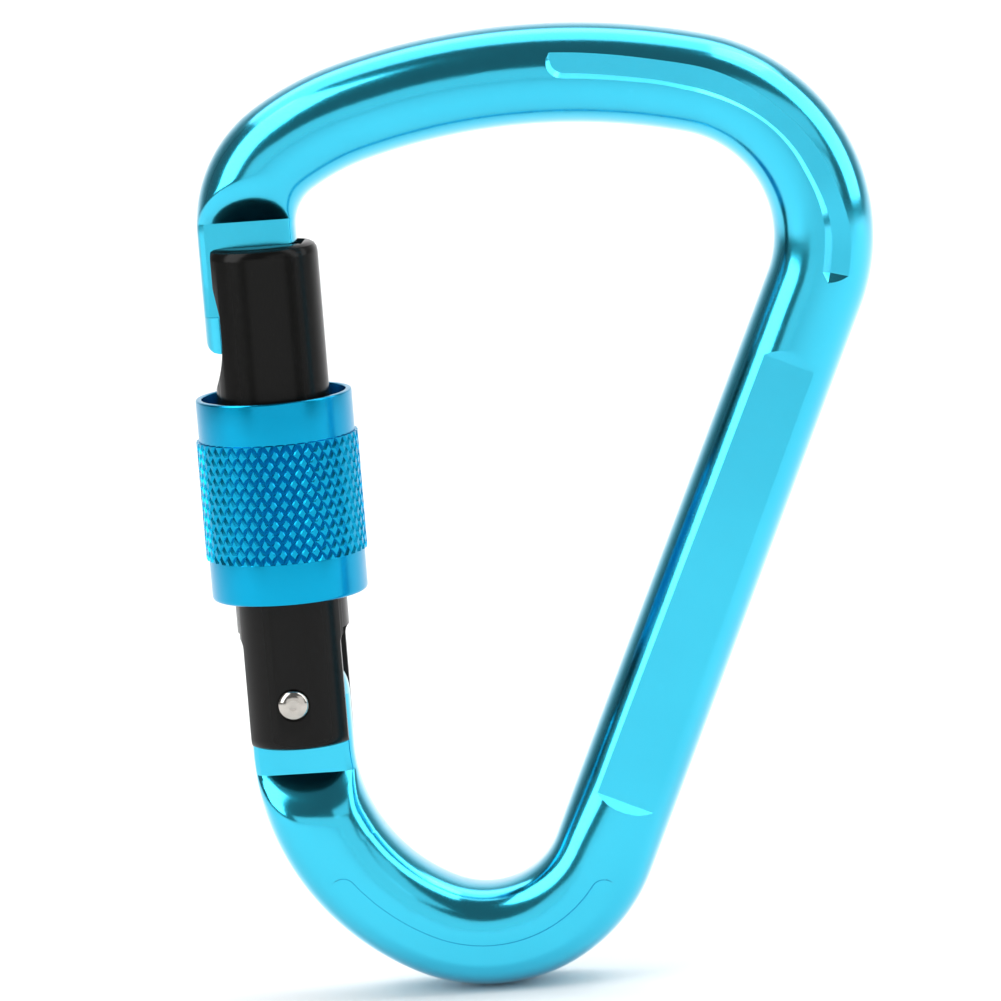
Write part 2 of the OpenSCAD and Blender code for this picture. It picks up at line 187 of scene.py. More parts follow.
def mask(tree, value, start, end):
    """Black where the value is below start, white above end."""
    return ramp(tree, value, [(start, (0.0, 0.0, 0.0)), (end, (1.0, 1.0, 1.0))])


def to_range(tree, value, low, high):
    """A value from 0 to 1, spread from low to high."""
    node = tree.nodes.new("ShaderNodeMapRange")
    node.inputs["To Min"].default_value = low
    node.inputs["To Max"].default_value = high
    tree.links.new(value, node.inputs["Value"])
    return node.outputs["Result"]


def bump(tree, value, distance, strength=1.0, before=None):
    """A normal raised by the value, on top of the bump before it."""
    node = tree.nodes.new("ShaderNodeBump")
    node.inputs["Distance"].default_value = distance
    node.inputs["Strength"].default_value = strength
    tree.links.new(value, node.inputs["Height"])
    if before is not None:
        tree.links.new(before, node.inputs["Normal"])
    return node.outputs["Normal"]


def mix(tree, fac, a, b):
    """Colour a where fac is 0, and colour b where it is 1."""
    node = tree.nodes.new("ShaderNodeMix")
    node.data_type = "RGBA"
    for socket, value in ((node.inputs[0], fac), (node.inputs[6], a), (node.inputs[7], b)):
        if isinstance(value, bpy.types.NodeSocket):
            tree.links.new(value, socket)
        elif isinstance(value, (int, float)):
            socket.default_value = value
        else:
            socket.default_value = (*value, 1.0)
    return node.outputs[2]


# %% The anodised finishes
def anodised(name, deep, light, roughness, coat, waviness):
    """Dyed aluminium: its colour, gloss and coat, and how deep its tumbled waves are."""
    material, tree, shader = new_material(name)
    cloud = noise(tree, 35.0, 4.0)
    fine = noise(tree, 900.0, 5.0, 0.6)
    grain = noise(tree, 4500.0, 3.0, 0.6)
    colour = ramp(tree, cloud, [(0.3, deep), (0.7, light)])
    worn = mask(tree, fine, 0.62, 0.8)
    tree.links.new(mix(tree, worn, colour, light), shader.inputs["Base Color"])
    shader.inputs["Metallic"].default_value = 1.0
    tree.links.new(to_range(tree, fine, roughness * 0.8, roughness * 1.25),
                   shader.inputs["Roughness"])
    shader.inputs["Coat Weight"].default_value = coat
    shader.inputs["Coat Roughness"].default_value = 0.12
    shader.inputs["Coat IOR"].default_value = 1.5
    wave = bump(tree, noise(tree, 260.0, 2.0), waviness)
    tree.links.new(bump(tree, grain, 6 * MICRON, 0.6, wave), shader.inputs["Normal"])
    return material


cyan_skin = anodised("anodised_cyan", deep=(0.014, 0.49, 0.70), light=(0.022, 0.55, 0.77),
                     roughness=0.16, coat=0.9, waviness=20 * MICRON)
blue_skin = anodised("anodised_blue", deep=(0.001, 0.28, 0.50), light=(0.002, 0.34, 0.58),
                     roughness=0.24, coat=0.1, waviness=4 * MICRON)
print("anodised finishes:", cyan_skin.name, blue_skin.name)

# %% [markdown]
# ## The gate's black
#
# The gate is dyed black, so almost no light comes back from the metal under its skin. What shows is
# the skin's own weak gloss, so this finish isn't a metal in the shader. Its bump holds the fine lines
# that a lathe leaves, stretched round the barrel, and a mask makes a few scuffs a little paler.

# %% The black gate's finish
BLACK, SCUFFED = (0.0045, 0.0045, 0.0042), (0.010, 0.010, 0.0095)


def black_anodised():
    """Black dye with lathe lines and a few paler scuffs."""
    material, tree, shader = new_material("anodised_black")
    fine = noise(tree, 1400.0, 4.0, 0.6)
    scuff = noise(tree, 180.0, 5.0, 0.65, (1, 1, 0.25))
    scuffs = mask(tree, scuff, 0.66, 0.76)
    tree.links.new(mix(tree, scuffs, BLACK, SCUFFED), shader.inputs["Base Color"])
    shader.inputs["Metallic"].default_value = 0.0
    shader.inputs["Specular IOR Level"].default_value = 0.14
    tree.links.new(to_range(tree, fine, 0.16, 0.28), shader.inputs["Roughness"])
    lines = noise(tree, 700.0, 2.0, 0.5, (0.02, 0.02, 1))
    lathe_lines = bump(tree, lines, 6 * MICRON, 0.6)
    tree.links.new(bump(tree, fine, 5 * MICRON, 0.5, lathe_lines), shader.inputs["Normal"])
    return material


black_skin = black_anodised()
print("gate finish:", black_skin.name)

# %% [markdown]
# ## Bare steel
#
# The rivet, the plunger, the spring and the stop ring are plain steel. The rivet's heads are rubbed
# bright and slightly warm, and the hidden parts keep the duller grey of drawn wire. One function
# makes both, because they differ only in colour and roughness.

# %% The steel finishes
def steel(name, colour, roughness):
    """Bare steel, mottled a little in colour and gloss."""
    material, tree, shader = new_material(name)
    fine = noise(tree, 900.0, 4.0, 0.6)
    dark = tuple(c * 0.86 for c in colour)
    tree.links.new(ramp(tree, fine, [(0.35, dark), (0.65, colour)]), shader.inputs["Base Color"])
    shader.inputs["Metallic"].default_value = 1.0
    tree.links.new(to_range(tree, fine, roughness * 0.7, roughness * 1.3),
                   shader.inputs["Roughness"])
    tree.links.new(bump(tree, fine, 4 * MICRON, 0.6), shader.inputs["Normal"])
    return material


rivet_steel = steel("rivet_steel", colour=(0.53, 0.505, 0.465), roughness=0.15)
spring_steel = steel("spring_steel", colour=(0.60, 0.60, 0.62), roughness=0.28)
print("steel finishes:", rivet_steel.name, spring_steel.name)

# %% [markdown]
# ## The bar's line
#
# The frame is one round bar bent on formers, so its middle line is a chain of arcs and one straight
# spine. Walking round it clockwise from the nose gives, for any length s, a point, a heading and the
# outward side. Two lengths are not free: the spine's length and the top bar's radius close the loop.

# %% Walk along the bar
BAR_R, BOW_R = 5.45, 5.65
LEAN = 24.4
NOSE_END = np.array([-1.4, 52.1])
TAIL_STRAIGHT = 5.8
TAIL_TURN, CORNER_TURN, TOP_TURN, SHOULDER_TURN = 65.0, 100.3, 29.6, 17.0
R_TAIL, R_BEND, R_CORNER, R_SHOULDER, R_NOSE = 23.2, 14.3, 17.0, 29.3, 10.3


def ahead(heading):
    """Unit step forward, for a heading in degrees clockwise from straight up."""
    a = np.radians(heading)
    return np.array([np.sin(a), np.cos(a)])


def outside(heading):
    """Unit step to the outer side."""
    a = np.radians(heading)
    return np.array([-np.cos(a), np.sin(a)])


def chord(radius, h0, h1):
    """Displacement along an arc that turns clockwise from heading h0 to h1."""
    return radius * (outside(h1) - outside(h0))


headings = np.cumsum([0.0, 180 + LEAN - CORNER_TURN - TOP_TURN - SHOULDER_TURN,
                      SHOULDER_TURN, TOP_TURN, CORNER_TURN])
h_nose, h_shoulder, h_top, h_corner = headings[1:]
h_tail = 360.0 - TAIL_TURN
tail_foot = np.array([0.0, -TAIL_STRAIGHT])
rest = (tail_foot - NOSE_END - chord(R_NOSE, 0.0, h_nose) - chord(R_SHOULDER, h_nose, h_shoulder)
        - chord(R_CORNER, h_top, h_corner) - chord(R_BEND, h_corner, h_tail)
        - chord(R_TAIL, h_tail, 360.0))
closing = np.column_stack([chord(1.0, h_shoulder, h_top), ahead(h_corner)])
R_TOP, SPINE = np.linalg.solve(closing, rest)
print(f"top bar radius {R_TOP:.2f} mm, spine {SPINE:.2f} mm")

# Each stretch: radius (None for a straight), first heading, last heading
STRETCHES = [(R_NOSE, 0.0, h_nose), (R_SHOULDER, h_nose, h_shoulder), (R_TOP, h_shoulder, h_top),
             (R_CORNER, h_top, h_corner), (None, h_corner, SPINE), (R_BEND, h_corner, h_tail),
             (R_TAIL, h_tail, 360.0)]


def bar_line():
    """Start length, start point and stretch for each part of the bar, and its whole length."""
    rows = []
    s, p = 0.0, NOSE_END.copy()
    for radius, a, b in STRETCHES:
        rows.append((s, p.copy(), radius, a, b))
        if radius is None:
            s, p = s + b, p + b * ahead(a)
        else:
            s, p = s + radius * math.radians(b - a), p + chord(radius, a, b)
    return rows, s


LINE, S_TAIL = bar_line()
SPINE_START, SPINE_END = LINE[4][0], LINE[5][0]
print("joints of the bar, mm from the nose:", [round(row[0], 2) for row in LINE], round(S_TAIL, 2))


def stretch_at(s):
    """The stretch of the bar that length s falls in."""
    return [row for row in LINE if row[0] <= s][-1]


def on_bar(s):
    """Point and outward side at length s. Below the nose and above the tail the bar is straight."""
    if s < 0:
        return NOSE_END + s * ahead(0.0), outside(0.0)
    if s > S_TAIL:
        return tail_foot + (s - S_TAIL) * ahead(0.0), outside(0.0)
    start, p, radius, a, _ = stretch_at(s)
    if radius is None:
        return p + (s - start) * ahead(a), outside(a)
    heading = a + math.degrees((s - start) / radius)
    return p + chord(radius, a, heading), outside(heading)


# %% [markdown]
# ## The bar's section and its pressed faces
#
# Forging dies flatten the bar a little and press shallow panels into both faces: one round the
# corner, a long flat on the spine, and a faint one round the bottom bow. A swept tube would be
# perfectly round, so here each station of the sweep has its own section: a superellipse, whose two
# halves can differ, cut off at the height that the die leaves at that place.

# %% Shape of the section at each station
def along(s, stations):
    """A value read off listed stations (s, value), eased between them."""
    x = [a for a, _ in stations]
    y = [b for _, b in stations]
    i = int(np.clip(np.searchsorted(x, s) - 1, 0, len(x) - 2))
    t = np.clip((s - x[i]) / (x[i + 1] - x[i]), 0, 1)
    return y[i] + (y[i + 1] - y[i]) * t * t * (3 - 2 * t)


RECESS = (41.5, 84.9)          # the corner recess starts and ends here
FLAT = (93.8, 146.8)           # the spine's flat
BOW = (155.4, 188.3)           # the bow's faint recess
# each panel's wall stands this far outside the middle line, and its floor leaves this half thickness
RECESS_WALL = [(40, 0.42), (52, 0.2), (60, -0.1), (72, 0.3), (81, 1.05), (86, 1.2)]
RECESS_HALF = [(40, 4.84), (55, 5.0), (66, 5.14), (74, 4.98), (82, 4.6), (86, 4.56)]
BOW_WALL, BOW_HALF = 0.42, 5.4
FLAT_HALF = 4.75
# the superellipse's power on the bar's outer and inner half: 2 is round, and more is squarer
OUT_POWER = [(20, 2.0), (35, 2.1), (88, 2.15), (96, 2.3), (146, 2.3), (156, 2.8), (190, 2.7),
             (200, 2.3), (209, 2.0)]
IN_POWER = [(20, 2.0), (146, 2.0), (156, 2.5), (190, 2.5), (200, 2.2), (209, 2.0)]
RADIUS = [(SPINE_START, BAR_R), (SPINE_END, BOW_R)]
RECESS_WALL_SLOPE, BOW_WALL_SLOPE = 1.08, 1.5      # how steep the pressed walls are
RECESS_CORNER, BOW_CORNER = 1.5, 1.3               # corner radius of each recess's outline
RECESS_OPEN = 5.0              # the recess has no end wall: its outline runs on, and a slope ends it
RECESS_END_SLOPE, RECESS_END = 0.8, 0.9
FLAT_TOP_SLOPE, FLAT_TOP, FLAT_LOW_SLOPE = 0.55, 0.9, 0.95
NEAR = 4.0                     # past this, a panel's slopes have left the bar
UNCUT = 20.0                   # a height that cuts nothing


def box_distance(s, n, s0, s1, n0, corner):
    """Distance of (s, n) outside a panel from s0 to s1 and outward of n0, with rounded corners."""
    ds = np.maximum(np.maximum(s0 + corner - s, s - (s1 - corner)), 0.0)
    dn = np.maximum(n0 + corner - n, 0.0)
    return np.hypot(ds, dn) - corner


def near(s, panel):
    """Whether length s is on a panel or on the slopes at its ends."""
    return panel[0] - NEAR < s < panel[1] + NEAR


def pressed_height(s, n):
    """Half thickness that the dies leave at length s and distance n outside the middle line."""
    high = np.full_like(n, UNCUT)
    if near(s, RECESS):
        d = box_distance(s, n, RECESS[0], RECESS[1] + RECESS_OPEN, along(s, RECESS_WALL),
                         RECESS_CORNER)
        end = RECESS_END_SLOPE * max(0.0, s - RECESS[1] + RECESS_END)
        high = np.minimum(high, along(s, RECESS_HALF) + RECESS_WALL_SLOPE * np.maximum(d, 0.0)
                          + end)
    if near(s, FLAT):
        top = max(0.0, FLAT[0] + FLAT_TOP - s) * FLAT_TOP_SLOPE
        low = max(0.0, s - FLAT[1]) * FLAT_LOW_SLOPE
        high = np.minimum(high, FLAT_HALF + top + low)
    if near(s, BOW):
        d = box_distance(s, n, *BOW, BOW_WALL, BOW_CORNER)
        high = np.minimum(high, BOW_HALF + BOW_WALL_SLOPE * np.maximum(d, 0.0))
    return high


print("panels, mm from the nose: recess", RECESS, "flat", FLAT, "bow", BOW)

# %% [markdown]
# ## The nose and the tail
#
# Both ends of the bar are milled to a flat tongue that enters a slot in the gate. A slope, cut with
# the same tool, leads from the tongue out to the bar's full thickness, which leaves a crescent on
# the round bar. At the nose the tongue ends in a small head, wider than the tongue, that the gate's
# hollow holds when the carabiner is loaded.

# %% Milled ends
TONGUE = 2.2                   # half the tongues' thickness
NOSE_STEP, NOSE_SLOPE = 53.3, 3.25 / 3.9           # where each slope starts, and how steep it is
TAIL_STEP, TAIL_SLOPE = -8.5, 3.45 / 3.2
NOSE_ENDS, TAIL_STARTS = 19.0, 188.0               # the milled stretches of the bar
TIP, TIP_R = 39.0, 1.7
HEAD_TOP, HEAD_IN, HEAD_HALF = 43.0, -4.95, 3.1
HEAD_S = HEAD_TOP - NOSE_END[1]
TIP_IN = (-4.35, 40.0)         # the tongue's inner side slopes from here to TONGUE_IN
TONGUE_IN = (4.05, 47.1)
MILLED_BLEND, HEAD_BLEND = 1.3, 2.6                # how wide the milled creases are rounded


def milled_height(s, x, z):
    """Half thickness that the mill leaves at x and z."""
    high = np.full_like(x, UNCUT)
    if s < NOSE_ENDS:
        high = np.minimum(high, TONGUE + np.maximum(z - NOSE_STEP, 0) * NOSE_SLOPE)
        head = (z < HEAD_TOP) & (x < HEAD_IN)
        high = np.where(head, HEAD_HALF, high)
    if s > TAIL_STARTS:
        high = np.minimum(high, TONGUE + np.maximum(TAIL_STEP - z, 0) * TAIL_SLOPE)
    return high


def blend(a, b, width):
    """The lower of two heights, with their crease rounded over a width."""
    share = np.clip(0.5 + 0.5 * (b - a) / width, 0, 1)
    return b + (a - b) * share - width * share * (1 - share)


def n_limits(s, radius, z):
    """How far out and in the section reaches, where the nose is cut to its outline."""
    low, high = -radius, radius
    if s < 0:
        if z < TONGUE_IN[1]:
            t = np.clip((z - TIP_IN[1]) / (TONGUE_IN[1] - TIP_IN[1]), 0, 1)
            x_in = TIP_IN[0] + t * (TONGUE_IN[0] - TIP_IN[0])
            low = -(x_in - NOSE_END[0])
        if z < TIP + TIP_R:
            drop = TIP_R - math.sqrt(max(0.0, TIP_R**2 - (TIP + TIP_R - z) ** 2))
            high = radius - drop
    return low, high


print(f"tongues {2 * TONGUE} mm thick, nose head {2 * HEAD_HALF} mm thick")

# %% [markdown]
# ## Where the points go
#
# The mesh has a ring of points at each station, and the same points in each ring. Rings stand close
# together where a panel begins or ends. In each ring, three of the points are set exactly on the
# creases of the panel there: its outer edge, and the foot and the top of its wall. So every crease is
# a line of edges in the mesh, and stays crisp with no more faces than are needed. Where the bar is
# plain, those points drift from one panel's creases to the next one's.

# %% Stations
COARSE, FINE, FADE = 0.62, 0.12, 0.8               # ring spacing, and how fast it opens out
APART = 0.05                   # least distance from an even ring to one on a crease
WALK = 20001                   # lengths that the spacing is summed over
FINE_AT = [(-13.1, 0.4), (-9.1, 0.4), (1.2, 0.3), (4.0, 2.0), (42.0, 0.9), (84.6, 0.8),
           (93.4, 1.6), (147.2, 0.6), (155.9, 0.9), (187.8, 0.9), (198.2, 2.0), (208.5, 0.3)]


def stations(start, end, exact):
    """Lengths of the rings: close where FINE_AT asks, and one on each exact length."""
    s = np.linspace(start, end, WALK)
    close = np.zeros_like(s)
    for centre, reach in FINE_AT:
        gap = np.maximum(np.abs(s - centre) - reach, 0)
        close = np.maximum(close, np.exp(-gap ** 2 / FADE))
    density = 1 / COARSE + (1 / FINE - 1 / COARSE) * close
    total = np.concatenate([[0], np.cumsum((density[1:] + density[:-1]) / 2 * np.diff(s))])
    even = np.interp(np.linspace(0, total[-1], int(total[-1]) + 1), total, s)
    clear = [v for v in even if min(abs(v - e) for e in exact) > APART]
    return np.array(sorted(clear + list(exact)))


# %% Profile of one station
SLANT_ENDS, SLANT_STARTS = (1.5, 6.5), (189.5, 194.0)      # where rings turn from level to square
STEEPEST = 0.95                # past this sine, a ring no longer follows the level
PROFILE_POINTS = 1600


def ring_slant(s):
    """How far a ring follows the level of the milled steps, and not the bar's own square section."""
    nose = (SLANT_ENDS[1] - s) / (SLANT_ENDS[1] - SLANT_ENDS[0])
    tail = (s - SLANT_STARTS[0]) / (SLANT_STARTS[1] - SLANT_STARTS[0])
    t = np.clip(max(nose, tail), 0, 1)
    return t * t * (3 - 2 * t)


def ring_place(s, n):
    """x and z of the points n outside the middle line, in the ring of station s."""
    p, out = on_bar(s)
    slant = ring_slant(s)
    if slant == 0 or s <= 0 or s >= S_TAIL:
        return p[0] + n * out[0], p[1] + n * out[1]
    start, foot, radius, a, _ = stretch_at(s)
    hub = foot - radius * outside(a)
    heading = a + math.degrees((s - start) / radius)
    heading = heading - 360 if heading > 180 else heading
    sine = np.clip((p[1] - hub[1]) / (radius + n), -STEEPEST, STEEPEST)
    level = np.degrees(np.arcsin(sine))
    turn = np.radians(heading + (level - heading) * slant)
    return hub[0] - (radius + n) * np.cos(turn), hub[1] + (radius + n) * np.sin(turn)


def half_profile(s):
    """Front half of the section at s, from the outer side to the inner, in fine steps.

    Gives n and y, which of the points the dies or the mill cut and to what height, and whether the
    nose's outline cuts the inner side.
    """
    p, _ = on_bar(s)
    radius = along(s, RADIUS)
    n_low, n_high = n_limits(s, radius, p[1])
    n = radius * np.cos(np.linspace(0, math.pi, PROFILE_POINTS))
    power = np.where(n > 0, along(s, OUT_POWER), along(s, IN_POWER))
    y = radius * (1 - np.abs(n / radius) ** power).clip(0) ** (1 / power)
    keep = (n <= n_high) & (n >= n_low)
    n, y = n[keep], y[keep]
    milled = milled_height(s, *ring_place(s, n))
    pressed = pressed_height(s, n)
    limit = np.minimum(pressed, milled)
    cut = limit < y
    width = HEAD_BLEND if p[1] < HEAD_TOP else MILLED_BLEND
    y = blend(np.minimum(y, pressed), milled, width)
    n = np.concatenate([[n_high], n, [n_low]])
    y = np.concatenate([[0.0], y, [0.0]])
    return n, y, cut, limit, n_low > -radius


# %% Creases of one station
NO_CREASE = (np.nan, np.nan, np.nan)
HEAD_CREASES = (4.48, 3.57, 3.53)                  # the edge of the head's flat, and its step
LEVEL = 0.002                  # points this close in height are on one flat
WALL_SEEN, WALL_LEAST = 0.06, 0.12                 # a narrower wall than the first is given the second


def creases(s):
    """n at the panel's outer edge, at the foot of its wall and at the wall's top."""
    if s < HEAD_S:
        return HEAD_CREASES
    n, _, cut, limit, _ = half_profile(s)
    if not cut.any():
        return NO_CREASE
    where = np.nonzero(cut)[0]
    outer, inner = n[1 + where[0]], n[1 + where[-1]]
    flat = np.nonzero(cut & (limit < limit[where].min() + LEVEL))[0]
    foot = n[1 + flat[-1]]
    if foot - inner < WALL_SEEN:
        foot = inner + WALL_LEAST
    return outer, foot, inner


def drift(values, s):
    """Fills the gaps between real creases, so that they run on smoothly."""
    known = ~np.isnan(values)
    return np.interp(s, s[known], values[known])


# %% Points of one ring
PARTS = (18, 16, 3, 29)        # spaces before, across, on and behind the panel's wall
HALF = sum(PARTS)
EDGE_ROOM, WALL_ROOM, FLAT_ROOM = 0.25, 0.04, 0.3  # least room behind, on and across the panel
OUTER_ROOM, TOUCHING, FOOT_ROOM = 0.15, 0.02, 0.1  # and in front of it, and where it is cut off


def half_ring(s, outer, foot, inner):
    """The ring's points from the outer side to the inner, with its creases at the marks."""
    n, y, _, _, inner_cut = half_profile(s)
    length = np.concatenate([[0], np.cumsum(np.hypot(np.diff(n), np.diff(y)))])
    inner = max(inner, n[-1] + EDGE_ROOM) if not inner_cut else inner
    foot = max(foot, inner + WALL_ROOM)
    outer = min(max(outer, foot + FLAT_ROOM), n[0] - OUTER_ROOM)
    marks = [np.interp(-v, -n[1:-1], length[1:-1]) for v in (outer, foot, inner)]
    if inner_cut and inner <= n[-2] + TOUCHING:
        marks[2] = length[-2]
        marks[1] = min(marks[1], marks[2] - FOOT_ROOM)
    ends = [0.0] + marks + [length[-1]]
    at = [np.linspace(a, b, count + 1)[:-1] for a, b, count in zip(ends, ends[1:], PARTS)]
    at = np.concatenate(at + [[length[-1]]])
    return np.interp(at, length, n), np.interp(at, length, y)


# %% [markdown]
# ## The tail's round end
#
# Above the hinge pin the tail ends in a ball, milled to the tongue's thickness, with a shallow ramp
# on top that the spring's plunger rides on. Rings there run straight across, each a share of the way
# from the pin up to the end's outline.

# %% Rings of the tail's end
BALL_R = 5.63
RAMP = [(-1.9, 3.08), (0.0, 3.1), (1.6, 3.94), (3.67, 4.24)]
BALL_RINGS = 21
TIP_LIP = 0.001                # the first ring lies just inside the tip
RECESS_LIP, BOW_LIP, HEAD_LIP = 0.22, 0.06, 0.01   # how far inside a panel's end its wall stands


def tail_top(x):
    """Height of the end's outline at x."""
    ball = np.sqrt(np.maximum(BALL_R**2 - x**2, 0.0))
    ramp_z = np.interp(x, [a for a, _ in RAMP], [b for _, b in RAMP])
    inside = (x >= RAMP[0][0]) & (x <= RAMP[-1][0])
    return np.where(inside, np.minimum(ball, ramp_z), ball)


def tail_ring(share, x):
    """z and y of a ring, a share of the way up to the end's outline."""
    z = tail_top(x) * share
    y = np.minimum(np.sqrt(np.maximum(BALL_R**2 - x**2 - z**2, 0.0)), TONGUE)
    return z, y


def crease_lengths():
    """Lengths where a panel, a step or a slope begins or ends."""
    nose_step = R_NOSE * math.asin((NOSE_STEP - NOSE_END[1]) / R_NOSE)
    tail_step = S_TAIL + R_TAIL * math.asin((TAIL_STEP + TAIL_STRAIGHT) / R_TAIL)
    return [HEAD_S - HEAD_LIP, HEAD_S + HEAD_LIP, nose_step, RECESS[0], RECESS[0] + RECESS_LIP,
            RECESS[1] - RECESS_END, RECESS[1], FLAT[0] + FLAT_TOP, FLAT[1], BOW[0],
            BOW[0] + BOW_LIP, BOW[1] - BOW_LIP, BOW[1], tail_step]


def frame_points():
    """Every ring of the frame, from the nose's tip to the tail's end."""
    places = stations(TIP - NOSE_END[1] + TIP_LIP, S_TAIL + TAIL_STRAIGHT, crease_lengths())
    found = np.array([creases(s) for s in places])
    tracks = np.column_stack([drift(found[:, k], places) for k in range(3)])
    rings = []
    for s, track in zip(places, tracks):
        n, y = half_ring(s, *track)
        x, z = ring_place(s, n)
        rings.append((x, y, z))
    x = rings[-1][0] * BALL_R / BOW_R
    for share in np.sin(np.linspace(0, math.pi / 2, BALL_RINGS + 1))[1:]:
        z, y = tail_ring(share, x)
        rings.append((x, y, z))
    points = []
    for x, y, z in rings:
        front = np.column_stack([x, -y, z])
        back = np.column_stack([x, y, z])[1:-1][::-1]
        points.append(np.vstack([front, back]))
    return points


rings = frame_points()
ring_size = 2 * HALF
print(f"{len(rings)} rings of {ring_size} points")

# %% Join the rings into the frame
def tube_faces(count, size):
    """The quads between rings that follow each other."""
    quads = []
    for i in range(count - 1):
        a, b = i * size, (i + 1) * size
        for j in range(size):
            k = (j + 1) % size
            quads.append((a + j, a + k, b + k, b + j))
    return quads


def zip_cap(base, half, size, flip):
    """Closes a ring straight across, from each front point to the back point behind it."""
    faces = []
    for j in range(half):
        a, b = base + j, base + j + 1
        c, d = base + (size - j - 1) % size, base + (size - j) % size
        face = [a, b, c, d] if j < half - 1 else [a, b, c]
        face = [v for i, v in enumerate(face) if v not in face[:i]]
        faces.append(tuple(reversed(face)) if flip else tuple(face))
    return faces


frame_faces = tube_faces(len(rings), ring_size)
frame_faces += zip_cap(0, HALF, ring_size, True)
frame_faces += zip_cap((len(rings) - 1) * ring_size, HALF, ring_size, False)
forged_frame = mesh_object("forged_frame", np.vstack(rings), frame_faces)
outward(forged_frame)
finish_piece(forged_frame, cyan_skin, "frame", ["frame"], math.radians(20))

# %% [markdown]
# ## Turned pieces
#
# The sleeve, the rivet, the plunger and the gate's barrel come off a lathe. Each is an outline in
# radius and height, turned round an axis. A real turned part never has a perfectly sharp corner, so
# each corner of an outline carries its own small radius.

# %% Turn an outline
def rounded(outline, steps=4):
    """Outline corners (r, z, fillet) as points, with an arc at each corner."""
    points = []
    count = len(outline)
    for i, (r, z, fillet) in enumerate(outline):
        here = np.array([r, z])
        if fillet <= 0:
            points.append(here)
            continue
        before = np.array(outline[i - 1][:2]) - here
        after = np.array(outline[(i + 1) % count][:2]) - here
        u, v = before / np.linalg.norm(before), after / np.linalg.norm(after)
        for t in np.linspace(0, 1, steps + 1):
            a, b = here + u * fillet * (1 - t), here + v * fillet * t
            points.append(a + (b - a) * t)
    return np.array(points)


AXIS = 1e-6                    # a radius below this lies on the axis


def turned(name, outline, segments, axis="z"):
    """A closed outline turned round the z or y axis. Points at radius 0 meet at one pole."""
    profile = rounded(outline)
    angles = np.linspace(0, 2 * math.pi, segments, endpoint=False)
    points, rows = [], []
    for r, h in profile:
        if r < AXIS:
            rows.append([len(points)] * segments)
            points.append((0.0, 0.0, h))
        else:
            rows.append(list(range(len(points), len(points) + segments)))
            points += [(r * math.cos(a), r * math.sin(a), h) for a in angles]
    faces = []
    closed = profile[0][0] > AXIS
    pairs = list(zip(rows, rows[1:])) + ([(rows[-1], rows[0])] if closed else [])
    for low, high in pairs:
        for j in range(segments):
            k = (j + 1) % segments
            ring = [low[j], low[k], high[k], high[j]]
            face = tuple(v for i, v in enumerate(ring) if v not in ring[:i])
            if len(face) > 2:
                faces.append(face)
    points = np.array(points)
    if axis == "y":
        points = points[:, [0, 2, 1]] * np.array([1, 1, -1])
    obj = mesh_object(name, points, faces)
    outward(obj)
    return obj


# %% [markdown]
# ## The gate
#
# The barrel is a turned rod with milled slots: one for the nose, a hollow for the nose's head, and a
# fork for the tail. Cutting it with solids, as a mill would, keeps every edge where the real one has
# it. A narrow bevel afterwards breaks the edges, and that is what catches the light.

# %% Cutters
def prism(name, outline_xz, y0, y1):
    """An outline in x and z, extruded along y."""
    count = len(outline_xz)
    points = [(x, y0, z) for x, z in outline_xz] + [(x, y1, z) for x, z in outline_xz]
    faces = [tuple(range(count)), tuple(range(2 * count - 1, count - 1, -1))]
    faces += [(i, i + count, (i + 1) % count + count, (i + 1) % count) for i in range(count)]
    obj = mesh_object(name, points, faces)
    outward(obj)
    return obj


def cut(obj, *cutters):
    """Cuts the cutters out of the object, and removes them."""
    for cutter in cutters:
        modifier = obj.modifiers.new("cut", "BOOLEAN")
        modifier.operation = "DIFFERENCE"
        modifier.solver = "EXACT"
        modifier.object = cutter
    bake_modifiers(obj)
    for cutter in cutters:
        bpy.data.objects.remove(cutter)


def bake_modifiers(obj):
    """Turns the object's modifiers into plain mesh."""
    graph = bpy.context.evaluated_depsgraph_get()
    mesh = bpy.data.meshes.new_from_object(obj.evaluated_get(graph))
    obj.modifiers.clear()
    obj.data = mesh


def break_edges(obj, width, angle=35, segments=2):
    """A narrow bevel, in millimetres, on every edge sharper than an angle in degrees."""
    modifier = obj.modifiers.new("edges", "BEVEL")
    modifier.width = width * MM
    modifier.segments = segments
    modifier.limit_method = "ANGLE"
    modifier.angle_limit = math.radians(angle)
    modifier.use_clamp_overlap = True
    bake_modifiers(obj)


# %% The turned barrel
GATE_R, GATE_TOP, GATE_LOW = 6.2, 50.5, -5.2
FOOT_ROUND, TOP_ROUND = 1.1, 1.25
COLLAR_R, COLLAR_LOW, COLLAR_TOP = 7.0, 24.3, 31.0
barrel = turned("gate_barrel_turned", [
    (0, GATE_LOW, 0), (GATE_R, GATE_LOW, FOOT_ROUND), (GATE_R, COLLAR_LOW, 0.1),
    (COLLAR_R, COLLAR_LOW, 0.15), (COLLAR_R, COLLAR_TOP, 0.15), (GATE_R, COLLAR_TOP, 0.1),
    (GATE_R, GATE_TOP, TOP_ROUND), (0, GATE_TOP, 0)], 128)
print("barrel, mm:", 2 * GATE_R, "across,", GATE_TOP - GATE_LOW, "high")

# %% Cutters for the nose's end
SLOT = TONGUE + 0.12           # half the slot's width
PAST, ABOVE = 20.0, 60.0       # cutters reach past the barrel's sides, and above its top
SLOT_X, SLOT_FLOOR, SLOT_BACK, SLOT_CLEAR = -3.95, 38.6, 4.75, 0.4
HOLLOW_X, HOLLOW_R, HOLLOW_MID, HOLLOW_STRAIGHT = -4.7, 11.8, 40.5, 43.25
MOUTH_X, MOUTH_LOW = -5.3, 46.3


